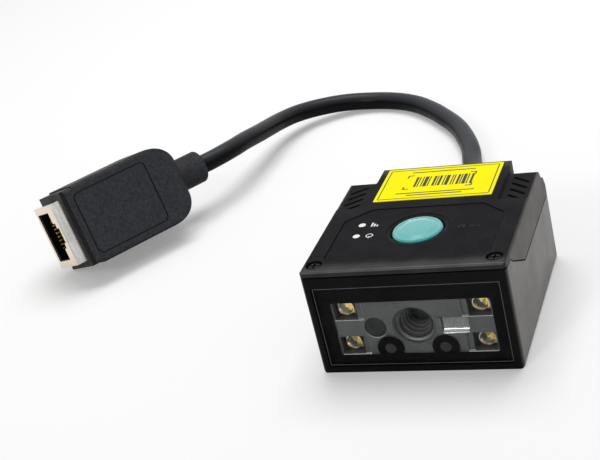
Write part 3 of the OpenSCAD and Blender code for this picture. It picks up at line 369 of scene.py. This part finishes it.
window_clear, wipes = clear_plastic("window_clear", {"Base Color": (0.93, 0.94, 0.94, 1), "IOR": 1.03,
                                                     "Specular Tint": (0, 0, 0, 1)}, scale=90, detail=5)
tree = window_clear.node_tree
haze = fade(tree, wipes, 0.45, 0.8, low=0.015, high=0.06)
tree.links.new(haze, tree.nodes["Principled BSDF"].inputs["Roughness"])
let_light_in(tree, (0.95, 0.96, 0.96))
window_plate = nodes["scan_window"]
dress(window_plate, window_clear)
break_edges(window_plate, width=0.14, segments=2)
window_low, window_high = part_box("scan_window")
window_front = Vector((0, window_low.y, (window_low.z + window_high.z) / 2))
border_in = 0.2 * MM
border_w = window_high.x - window_low.x - 2 * border_in
border_h = window_high.z - window_low.z - 2 * border_in
border_line = 0.12 * MM
# A pale line on the front border: the ground edge with a painted highlight
window_edge = start_piece("window_edge")
bpy.ops.mesh.primitive_plane_add(size=1, location=window_front, rotation=(math.pi / 2, 0, 0))
bpy.ops.transform.resize(value=(border_w, 1, border_h), center_override=window_front)
bpy.ops.mesh.inset(thickness=border_line)
bpy.ops.mesh.delete(type="FACE")
ground_edge_painted_highlight = moulding("ground_edge_painted_highlight", (0.1, 0.1, 0.102), (0.16, 0.16, 0.163),
                       rough=(0.5, 0.4), grain=(0.1, 0.002), specular=0.3, tone=2)
finish_print(window_edge, ground_edge_painted_highlight, lift=(0, -ink_lift * MM, 0))

# Engine block
# The grey front block of the scan engine, moulded with pockets for four lamps and bores for camera, aimer
# and sensor eyes. It stands on the floor between window and engine board, and a glint is painted on its
# upper edges.
engine_plastic = moulding("engine_plastic", (0.098, 0.098, 0.0975), (0.16, 0.16, 0.158),
                          rough=(0.5, 0.36), grain=(0.2, 0.008), specular=0.4)
edge_satin_painted_glint = moulding("edge_satin_painted_glint", (0.12, 0.12, 0.119), (0.2, 0.2, 0.198),
                      rough=(0.3, 0.22), grain=(0.2, 0.004), specular=0.9, tone=1)


def metal_where(tree, mask):
    tree.links.new(mask, tree.nodes["Principled BSDF"].inputs["Metallic"])


# Painted glint: bevels that face upwards are made near-white and metallic
tree = edge_satin_painted_glint.node_tree
painted_glint_edges = fade(tree, along(tree, (0, 0, 1), "Normal"), 0.2, 0.5)
tint_where(tree, painted_glint_edges, (0.95, 0.95, 0.93))
metal_where(tree, painted_glint_edges)
engine_block = nodes["engine_block"]
dress(engine_block, engine_plastic)
engine_block.data.materials.append(edge_satin_painted_glint)
engine_edges = break_edges(engine_block, width=0.1, segments=2)
engine_edges.use_clamp_overlap = False
engine_edges.material = 1

# Scan camera
# A grey moulded barrel with rounded anti-glare steps, painted lighter inside than at its front ring to lift
# the shade in the bore. It holds a coated lens that reflects a little green, also painted lighter against
# the shade, and the bare image sensor lies at its rear end on the engine board.
barrel_plastic = moulding("barrel_plastic", (0.15, 0.148, 0.145), (0.21, 0.207, 0.203),
                          rough=(0.6, 0.5), grain=(0.15, 0.01), specular=0.15)
tree = barrel_plastic.node_tree
barrel_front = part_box("lens_barrel")[0].y
# Painted light: the bore behind this front ring is lifted to a lighter grey against its shade
front_ring = fade(tree, along(tree, (0, 1, 0)), barrel_front + 0.5 * MM, barrel_front + 0.1 * MM)
tint_where(tree, front_ring, (0.07, 0.07, 0.069))
lens_barrel = nodes["lens_barrel"]
dress(lens_barrel, barrel_plastic)
break_edges(lens_barrel, width=0.2, segments=3)
# Painted light: the lens colour is lifted against the shade deep in the bore
lens_coating_painted_light = moulding("lens_coating_painted_light", (0.05, 0.066, 0.06), (0.085, 0.11, 0.1),
                        rough=(0.05, 0.12), grain=(1.2, 0.002), specular=0.3, tone=2)
set_shader(lens_coating_painted_light, {"Specular Tint": (0.55, 1.0, 0.82, 1), "Coat Weight": 0.1})
dress(nodes["camera_lens"], lens_coating_painted_light)
sensor_die = moulding("sensor_die", (0.02, 0.03, 0.06), (0.05, 0.07, 0.12),
                      rough=(0.15, 0.08), grain=(0.05, 0.001), specular=0.6)
dress(nodes["image_sensor"], sensor_die)

# Aimer
# A dark moulded tube beside the camera, pushed into its bore in the block. The small dark lens at its front
# throws the aiming spot.
aimer_plastic = moulding("aimer_plastic", (0.028, 0.028, 0.029), (0.045, 0.045, 0.046),
                         rough=(0.55, 0.42), grain=(0.15, 0.008), specular=0.35)
dress(nodes["aimer_barrel"], aimer_plastic)
aimer_glass = moulding("aimer_glass", (0.036, 0.036, 0.0365), (0.057, 0.057, 0.0575),
                       rough=(0.3, 0.2), grain=(0.8, 0.002), specular=0.15, tone=2)
dress(nodes["aimer_lens"], aimer_glass)

# Light bar
# A moulded light guide with a frosted body, pushed into its slot in the block. Two painted highlights along
# its foot are near-white and mirror-like.
bar_clear = moulding("bar_clear", (0.24, 0.24, 0.23), (0.39, 0.39, 0.375),
                     rough=(0.3, 0.16), grain=(0.4, 0.004), specular=0.6, tone=4)
tree = bar_clear.node_tree
bar_low_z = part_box("light_bar")[0].z
foot_h = 1 * MM
# Painted highlights: two near-white metallic lines across the foot
painted_highlight_lines = add_node(tree, "ValToRGB")
painted_highlight_lines.color_ramp.elements[0].color = (1, 1, 1, 1)
painted_highlight_lines.color_ramp.elements[1].color = (0, 0, 0, 1)
for height, bright in ((0.12, 1), (0.18, 0), (0.38, 0), (0.45, 1), (0.55, 1), (0.6, 0)):
    painted_highlight_lines.color_ramp.elements.new(height).color = (bright, bright, bright, 1)
tree.links.new(fade(tree, along(tree, (0, 0, 1)), bar_low_z, bar_low_z + foot_h), painted_highlight_lines.inputs["Fac"])
tint_where(tree, painted_highlight_lines.outputs["Color"], (0.95, 0.95, 0.94))
metal_where(tree, painted_highlight_lines.outputs["Color"])
dress(nodes["light_bar"], bar_clear)

# Lamps
# Four white lamps at the corners of the engine. Each has a base with a gold-plated half and a silvery die in
# the middle, a small pale gold reflector ring of thin sheet, and a clear moulded dome over it. The die is a
# white mirror spot that also serves as a painted highlight of the dome.
lamp_gold = moulding("lamp_gold", (0.2, 0.19, 0.18), (0.34, 0.33, 0.31),
                     rough=(0.35, 0.22), grain=(0.2, 0.01), specular=0.5, tone=1)
lamp_low, lamp_high = (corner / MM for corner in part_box("lamp_bases"))
lamp_half = 1.6
lamp_x = lamp_high.x - lamp_half
lamp_mid_z = (lamp_low.z + lamp_high.z) / 2
lamp_rise = lamp_high.z - lamp_half - lamp_mid_z


def lamp_offset(tree, value, middle, rise):
    # Distance from the middle of the nearest lamp, along one axis
    from_middle = add_node(tree, "Math", {1: middle * MM}, operation="SUBTRACT")
    side = add_node(tree, "Math", operation="SIGN")
    centre = add_node(tree, "Math", {1: rise * MM}, operation="MULTIPLY")
    offset = add_node(tree, "Math", operation="SUBTRACT")
    tree.links.new(value, from_middle.inputs[0])
    tree.links.new(from_middle.outputs[0], side.inputs[0])
    tree.links.new(side.outputs[0], centre.inputs[0])
    tree.links.new(from_middle.outputs[0], offset.inputs[0])
    tree.links.new(centre.outputs[0], offset.inputs[1])
    return offset.outputs[0]


tree = lamp_gold.node_tree
lamp_place = add_node(tree, "CombineXYZ")
tree.links.new(lamp_offset(tree, along(tree, (1, 0, 0)), 0, lamp_x), lamp_place.inputs["X"])
tree.links.new(lamp_offset(tree, along(tree, (0, 0, 1)), lamp_mid_z, lamp_rise), lamp_place.inputs["Y"])
to_gold = add_node(tree, "VectorMath", {1: (0.8, 0.6, 0)}, operation="DOT_PRODUCT")
tree.links.new(lamp_place.outputs["Vector"], to_gold.inputs[0])
gold_half = fade(tree, to_gold.outputs["Value"], -0.1 * MM, 0.05 * MM)
from_die = add_node(tree, "VectorMath", operation="LENGTH")
tree.links.new(lamp_place.outputs["Vector"], from_die.inputs[0])
# The die: a white mirror spot, which also serves as a painted highlight of the dome
die_painted_highlight = fade(tree, from_die.outputs["Value"], 0.24 * MM, 0.16 * MM)
tint_where(tree, gold_half, (1, 0.72, 0.2))
tint_where(tree, die_painted_highlight, (0.97, 0.97, 0.96))
plated = add_node(tree, "Math", operation="MAXIMUM")
tree.links.new(gold_half, plated.inputs[0])
tree.links.new(die_painted_highlight, plated.inputs[1])
metal_where(tree, plated.outputs[0])
dress(nodes["lamp_bases"], lamp_gold)
dome_clear, flow = clear_plastic("dome_clear", {"IOR": 1.42, "Roughness": 0.04}, scale=900, detail=2)
tree = dome_clear.node_tree
dome_tint = add_node(tree, "Mix", {6: (0.96, 0.95, 0.92, 1), 7: (1, 1, 1, 1)}, data_type="RGBA")
tree.links.new(flow, dome_tint.inputs[0])
tree.links.new(dome_tint.outputs[2], tree.nodes["Principled BSDF"].inputs["Base Color"])
let_light_in(tree, (0.97, 0.97, 0.96))
dress(nodes["lamp_domes"], dome_clear)
rim_r = 1.28
rim_depth = 0.6
rim_flare = 1.22
lip_back = 0.02
lip_flare = 1.08
rim_sheet = 0.06
lamp_rims = start_piece("lamp_rims")
for side in (-1, 1):
    for rise in (-lamp_rise, lamp_rise):
        middle = Vector((side * lamp_x, lamp_low.y, lamp_mid_z + rise)) * MM
        bpy.ops.mesh.select_all(action="DESELECT")
        bpy.ops.mesh.primitive_circle_add(vertices=36, radius=rim_r * MM, fill_type="NOTHING",
                                          location=middle, rotation=(math.pi / 2, 0, 0))
        bpy.ops.mesh.extrude_edges_move(TRANSFORM_OT_translate={"value": (0, -rim_depth * MM, 0)})
        bpy.ops.transform.resize(value=(rim_flare, 1, rim_flare), center_override=middle)
        bpy.ops.mesh.extrude_edges_move(TRANSFORM_OT_translate={"value": (0, lip_back * MM, 0)})
        bpy.ops.transform.resize(value=(lip_flare, 1, lip_flare), center_override=middle)
bpy.ops.object.mode_set(mode="OBJECT")
thicken = lamp_rims.modifiers.new("sheet", "SOLIDIFY")
thicken.thickness = rim_sheet * MM
bpy.ops.object.modifier_apply(modifier="sheet")
bpy.ops.object.mode_set(mode="EDIT")
bpy.ops.mesh.select_all(action="SELECT")
bpy.ops.mesh.normals_make_consistent(inside=False)
bpy.ops.object.mode_set(mode="OBJECT")
bpy.ops.object.shade_smooth_by_angle(angle=math.radians(40))
rim_gold = moulding("rim_gold", (0.6, 0.52, 0.4), (0.82, 0.73, 0.57),
                    rough=(0.25, 0.14), grain=(0.1, 0.004), specular=0.5, tone=1, metal=1)
dress(lamp_rims, rim_gold)
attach(lamp_rims, "reader")

# Sensor eyes
# Two small round filters of dark grey plastic, pushed into their bores in the block. They lie behind the
# round eyes of the window mask.
eye_plastic = moulding("eye_plastic", (0.06, 0.06, 0.062), (0.09, 0.09, 0.092),
                       rough=(0.3, 0.2), grain=(0.5, 0.003), specular=0.5, tone=2)
dress(nodes["eye_sensors"], eye_plastic)

# Boards
# Two boards of glass laminate with a mottled green solder mask, joined by a ribbon of amber film. Small
# steel screws hold the main board.
board_mask = moulding("board_mask", (0.006, 0.05, 0.03), (0.014, 0.085, 0.05),
                      rough=(0.4, 0.28), grain=(0.6, 0.01), specular=0.5, tone=2.2)
dress(nodes["engine_board"], board_mask)
dress(nodes["main_board"], board_mask)
ribbon_film = moulding("ribbon_film", (0.32, 0.13, 0.025), (0.46, 0.2, 0.04),
                       rough=(0.3, 0.2), grain=(0.8, 0.004), specular=0.5, tone=3)
dress(nodes["engine_flex"], ribbon_film)
board_steel = moulding("board_steel", (0.45, 0.45, 0.46), (0.6, 0.6, 0.61),
                       rough=(0.38, 0.26), grain=(0.1, 0.005), specular=0.5, tone=2, metal=1)
dress(nodes["board_screws"], board_steel)

# Parts on the board
# Chips in black moulding resin, a black beeper, the cream cable header with its plug, two white lamps and
# the grey push switch under the button.
chip_resin = moulding("chip_resin", (0.01, 0.01, 0.011), (0.018, 0.018, 0.019),
                      rough=(0.6, 0.5), grain=(0.08, 0.01), specular=0.4, tone=3)
for part in ("decoder_chip", "memory_chip", "beeper"):
    dress(nodes[part], chip_resin)
header_cream = moulding("header_cream", (0.66, 0.6, 0.47), (0.74, 0.69, 0.57),
                        rough=(0.5, 0.4), grain=(0.2, 0.006), specular=0.45, tone=4)
for part in ("board_header", "cable_plug"):
    dress(nodes[part], header_cream)
dress(nodes["inner_lead"], jacket_rubber)
switch_grey = moulding("switch_grey", (0.5, 0.5, 0.52), (0.62, 0.62, 0.64),
                       rough=(0.45, 0.35), grain=(0.2, 0.006), specular=0.45, tone=3)
dress(nodes["push_switch"], switch_grey)
lamp_white = moulding("lamp_white", (0.76, 0.75, 0.68), (0.86, 0.86, 0.8),
                      rough=(0.3, 0.2), grain=(0.2, 0.003), specular=0.5, tone=2)
dress(nodes["indicator_lamps"], lamp_white)

# Top cover
# The lid of the reader, moulded in charcoal plastic with a fine spark-eroded grain, which is matt on top and
# satin on the sides and along the rounded front edge. Two screws hold it at the front.
cover_plastic = moulding("cover_plastic", (0.011, 0.011, 0.012), (0.022, 0.022, 0.024),
                         rough=(0.5, 0.4), grain=(0.14, 0.012), specular=0.01, tone=5)
cover_low, cover_high = (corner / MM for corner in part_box("top_cover"))
cover_front = -cover_low.y
diagonal = math.sqrt(0.5)
front_corner = (cover_high.z + cover_front) * diagonal
# The cover's sides also get the painted brown sheen
satin_sides_painted_sheen(cover_plastic, weight=0.62)
satin_zone(cover_plastic, (0, -diagonal, diagonal), front_corner - 0.4, front_corner - 0.28, weight=0.8)
satin_zone(cover_plastic, (0, 1, 0), cover_front - 3.4, cover_front - 1.4, weight=0.3)
set_shader(cover_plastic, {"Coat Roughness": 0.44, "Coat IOR": 1.6})
dress(nodes["top_cover"], cover_plastic)

# Control panel
# A thin matt film, printed black from behind and glued into a shallow seat of the cover. White marks, a ring
# for power and rising bars for a good read, stand beside its indicator lights, and dark ones further right.
panel_film = moulding("panel_film", (0.0095, 0.0095, 0.011), (0.017, 0.017, 0.0195),
                      rough=(0.52, 0.42), grain=(0.1, 0.006), specular=0.012, tone=4)
dress(nodes["top_panel"], panel_film)


def print_bar(x, y, z, width, depth):
    middle = Vector((x, y, z)) * MM
    bpy.ops.mesh.select_all(action="DESELECT")
    bpy.ops.mesh.primitive_plane_add(size=1, location=middle)
    bpy.ops.transform.resize(value=(width * MM, depth * MM, 1), center_override=middle)


def print_ring(x, y, z, radius, line):
    bpy.ops.mesh.select_all(action="DESELECT")
    bpy.ops.mesh.primitive_circle_add(vertices=48, radius=radius * MM, fill_type="NGON",
                                      location=Vector((x, y, z)) * MM)
    bpy.ops.mesh.inset(thickness=line * MM)
    bpy.ops.mesh.delete(type="FACE")


panel_top_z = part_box("top_panel")[1].z / MM
power_x = -9.7
power_y = -7.9
read_x = -9.1
read_y = -3.75
read_step = 0.5
panel_print = start_piece("panel_print")
print_ring(power_x, power_y, panel_top_z, radius=0.78, line=0.2)
print_bar(power_x, power_y - 0.65, panel_top_z, width=0.2, depth=0.9)
for step in range(3):
    print_bar(read_x - 0.6 * step, read_y + read_step / 2 * step, panel_top_z,
              width=0.36, depth=0.6 + read_step * step)
white_ink = moulding("white_ink", (0.78, 0.78, 0.78), (0.88, 0.88, 0.88),
                     rough=(0.6, 0.5), grain=(0.15, 0.002), specular=0.3, tone=1)
finish_print(panel_print, white_ink)
panel_marks = start_piece("panel_marks")
for mark_x, mark_y, width, depth in ((8.6, -6.2, 0.16, 1.1), (9.6, -6.2, 0.16, 1.1), (9.1, -5.73, 1.0, 0.16),
                                     (11.2, -6.2, 0.9, 0.18), (12.5, -6.2, 0.5, 0.18)):
    print_bar(mark_x, mark_y, panel_top_z, width, depth)
dark_ink = moulding("dark_ink", (0.003, 0.003, 0.003), (0.005, 0.005, 0.005),
                    rough=(0.35, 0.25), grain=(0.15, 0.002), specular=0.2, tone=1)
finish_print(panel_marks, dark_ink)

# Button
# A glossy teal cap with a raised rim, moulded in plastic, that carries a dark stem down to the switch.
# A black ring in the cover lines its hole.
button_teal = moulding("button_teal", (0.05, 0.39, 0.38), (0.08, 0.45, 0.44),
                       rough=(0.3, 0.2), grain=(0.5, 0.003), specular=0.2, tone=6)
set_shader(button_teal, {"Coat Weight": 1, "Coat Roughness": 0.1})
dress(nodes["trigger_button"], button_teal)
stem_plastic = moulding("stem_plastic", (0.02, 0.02, 0.022), (0.032, 0.032, 0.034),
                        rough=(0.5, 0.4), grain=(0.2, 0.006), specular=0.4)
dress(nodes["switch_stem"], stem_plastic)
ring_plastic = moulding("ring_plastic", (0.004, 0.004, 0.0045), (0.009, 0.009, 0.01),
                        rough=(0.4, 0.28), grain=(0.3, 0.006), specular=0.03, tone=2)
dress(nodes["button_ring"], ring_plastic)

# Indicator lights
# Two pins of milky clear plastic, pushed into the cover from below. They bring the light of the lamps on the
# board up to the panel.
pipe_milky = moulding("pipe_milky", (0.82, 0.82, 0.8), (0.92, 0.92, 0.9),
                      rough=(0.35, 0.25), grain=(0.3, 0.002), specular=0.5, tone=1)
dress(nodes["light_pipes"], pipe_milky)

# Cover screws
# Two blackened pan-head screws with a cross recess. They are sunk in counterbores at the front corners and
# hold the cover on the tray.
screw_black = moulding("screw_black", (0.006, 0.006, 0.0065), (0.014, 0.014, 0.015),
                       rough=(0.42, 0.28), grain=(0.2, 0.01), specular=0.08, tone=1)
dress(nodes["cover_screws"], screw_black)

# Sticker
# A yellow film sticker on the raised middle. It carries a generic black print: a thin border, a block of
# bars in four corner marks, and ruled lines.
label_film = moulding("label_film", (0.95, 0.85, 0.0), (1.0, 0.91, 0.0),
                      rough=(0.4, 0.3), grain=(0.4, 0.003), specular=0.03, tone=8)
dress(nodes["rear_label"], label_film)
label_low, label_high = (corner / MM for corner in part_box("rear_label"))
label_z = label_high.z
label_mid_y = (label_low.y + label_high.y) / 2
frame_in = 0.8
frame_line = 0.22
frame_x = label_high.x - frame_in
frame_y = (label_high.y - label_low.y) / 2 - frame_in
label_print = start_piece("label_print")
for side in (-1, 1):
    print_bar(0, label_mid_y + side * frame_y, label_z, 2 * frame_x, frame_line)
    print_bar(side * frame_x, label_mid_y, label_z, frame_line, 2 * frame_y - frame_line)
code_y = label_mid_y + 0.7
code_h = 4.6
bar_x = -5.4
for bar, gap in ((0.5, 0.25), (0.25, 0.5), (0.25, 0.25), (0.75, 0.25), (0.25, 0.75), (0.5, 0.25),
                 (0.25, 0.25), (0.5, 0.5), (0.25, 0.25), (0.75, 0.5), (0.25, 0.25), (0.25, 0.5),
                 (0.5, 0.25), (0.25, 0.25), (0.75, 0.25), (0.25, 0.5), (0.5, 0.25)):
    print_bar(bar_x + bar / 2, code_y, label_z, bar, code_h)
    bar_x += bar + gap
corner_x = 6.9
corner_y = 3.15
corner_w = 1.4
corner_h = 1.0
corner_line = 0.3
upright_x = corner_x + (corner_w - corner_line) / 2
upright_y = corner_y - (corner_h + corner_line) / 2
for side_x in (-1, 1):
    for side_y in (-1, 1):
        print_bar(side_x * corner_x, code_y + side_y * corner_y, label_z, corner_w, corner_line)
        print_bar(side_x * upright_x, code_y + side_y * upright_y, label_z, corner_line, corner_h)
rule_line = 0.34
for rule_y, rule_w in ((-4.4, 17.0), (-5.4, 12.0), (5.3, 14.0)):
    print_bar(0, label_mid_y + rule_y, label_z, rule_w, rule_line)
label_ink = moulding("label_ink", (0.006, 0.006, 0.006), (0.012, 0.012, 0.012),
                     rough=(0.5, 0.4), grain=(0.2, 0.002), specular=0.3, tone=1)
finish_print(label_print, label_ink)

# Strain relief
# A ribbed sleeve of soft black plastic, moulded on the cable. Its two flanges clamp it in the rear wall of
# the housing.
relief_rubber = moulding("relief_rubber", (0.009, 0.009, 0.01), (0.016, 0.016, 0.018),
                         rough=(0.55, 0.45), grain=(0.25, 0.012), specular=0.4)
dress(nodes["cable_gland"], relief_rubber)

# Inline socket
# The body moulded on the cable's end, in dark grey grained plastic, with shade painted near-black on the
# sides and the collar where they turn away from its broad faces. A shell of nickel-plated sheet in its front
# holds a black keyed insert with gold-plated spring contacts.
overmold_plastic = moulding("overmold_plastic", (0.019, 0.02, 0.024), (0.056, 0.059, 0.07),
                            rough=(0.55, 0.42), grain=(0.28, 0.05), specular=0.12, tone=0.8)
tree = overmold_plastic.node_tree
face_normal = (math.cos(tilt) * math.sin(heading), -math.cos(tilt) * math.cos(heading), math.sin(tilt))
# Painted shade: faces that turn away from the broad faces are made near-black
painted_light_facing = either_way(tree, along(tree, face_normal, "Normal"))
tint_where(tree, fade(tree, painted_light_facing, 0.99, 0.72), (0.009, 0.0088, 0.0085))
dress(nodes["connector_overmold"], overmold_plastic)
shell_nickel = moulding("shell_nickel", (0.36, 0.355, 0.34), (0.78, 0.77, 0.745),
                        rough=(0.26, 0.18), grain=(0.4, 0.004), specular=0.5, tone=3, metal=1)
tree = shell_nickel.node_tree
drawn = add_node(tree, "Mapping", {"Rotation": (0, 0, heading), "Scale": (0.2, 2, 2)}, vector_type="TEXTURE")
tree.links.new(tree.nodes["place"].outputs["Object"], drawn.inputs["Vector"])
tree.links.new(drawn.outputs["Vector"], tree.nodes["surface"].inputs["Vector"])
mouth_at = (socket_x * math.cos(heading) + socket_y * math.sin(heading)) * MM
from_mouth = along(tree, (math.cos(heading), math.sin(heading), 0))
mouth_rim = fade(tree, from_mouth, mouth_at + 0.15 * MM, mouth_at + 0.05 * MM)
tint_where(tree, mouth_rim, (0.78, 0.66, 0.53))
dress(nodes["jack_shell"], shell_nickel)
insert_black = moulding("insert_black", (0.002, 0.002, 0.002), (0.004, 0.004, 0.004),
                        rough=(0.5, 0.4), grain=(0.2, 0.005), specular=0.08)
dress(nodes["jack_insert"], insert_black)
contact_gold = moulding("contact_gold", (0.4, 0.25, 0.06), (0.56, 0.38, 0.12),
                        rough=(0.3, 0.2), grain=(0.1, 0.003), specular=0.5, tone=1, metal=1)
dress(nodes["jack_contacts"], contact_gold)

# Studio
# A plain white table with a large soft light above and behind the reader, so that its shadow falls forward,
# a weak fill from the front, and a white room that the camera, metal and glass see.
bpy.ops.object.select_all(action="DESELECT")
bpy.ops.mesh.primitive_plane_add(size=8, location=(0, 0, 0))
table = bpy.context.object
table.name = "table"


def seen_rays(tree):
    # 1 for what the camera sees directly, in metal or through glass
    rays = add_node(tree, "LightPath")
    either = add_node(tree, "Math", operation="MAXIMUM")
    any_of = add_node(tree, "Math", operation="MAXIMUM")
    tree.links.new(rays.outputs["Is Camera Ray"], either.inputs[0])
    tree.links.new(rays.outputs["Is Glossy Ray"], either.inputs[1])
    tree.links.new(either.outputs[0], any_of.inputs[0])
    tree.links.new(rays.outputs["Is Transmission Ray"], any_of.inputs[1])
    return any_of.outputs[0]


table_white = bpy.data.materials.new("table_white")
table_white.use_nodes = True
tree = table_white.node_tree
tree.nodes.remove(tree.nodes["Principled BSDF"])
paper = add_node(tree, "BsdfDiffuse", {"Color": (0.7, 0.7, 0.7, 1)})
backlight = add_node(tree, "Emission")
backlight_level = add_node(tree, "Math", {1: 0.27}, operation="MULTIPLY")
both = add_node(tree, "AddShader")
tree.links.new(seen_rays(tree), backlight_level.inputs[0])
tree.links.new(backlight_level.outputs[0], backlight.inputs["Strength"])
tree.links.new(paper.outputs["BSDF"], both.inputs[0])
tree.links.new(backlight.outputs["Emission"], both.inputs[1])
tree.links.new(both.outputs["Shader"], tree.nodes["Material Output"].inputs["Surface"])
dress(table, table_white)


def softbox(name, place, aim, size, watts):
    lamp = bpy.data.lights.new(name, "AREA")
    lamp.size = size
    lamp.energy = watts
    stand = bpy.data.objects.new(name, lamp)
    stand.location = place
    stand.rotation_euler = (Vector(aim) - Vector(place)).to_track_quat("-Z", "Y").to_euler()
    scene.collection.objects.link(stand)


softbox("rear_softbox", place=(-0.03, 0.26, 0.7), aim=(-0.03, 0.03, 0.01), size=0.5, watts=4.2)
softbox("front_fill", place=(-0.25, -0.6, 0.45), aim=(0, 0, 0.01), size=0.16, watts=1.0)
world = bpy.data.worlds.new("white_room")
scene.world = world
world.use_nodes = True
tree = world.node_tree
room_light = tree.nodes["Background"]
room_light.inputs["Color"].default_value = (1, 1, 1, 1)
room_light.inputs["Strength"].default_value = 0.3
room_seen = add_node(tree, "Background", {"Color": (1, 1, 1, 1), "Strength": 1})
room = add_node(tree, "MixShader")
tree.links.new(seen_rays(tree), room.inputs["Fac"])
tree.links.new(room_light.outputs["Background"], room.inputs[1])
tree.links.new(room_seen.outputs["Background"], room.inputs[2])
tree.links.new(room.outputs["Shader"], tree.nodes["World Output"].inputs["Surface"])
scene.view_settings.view_transform = "Standard"
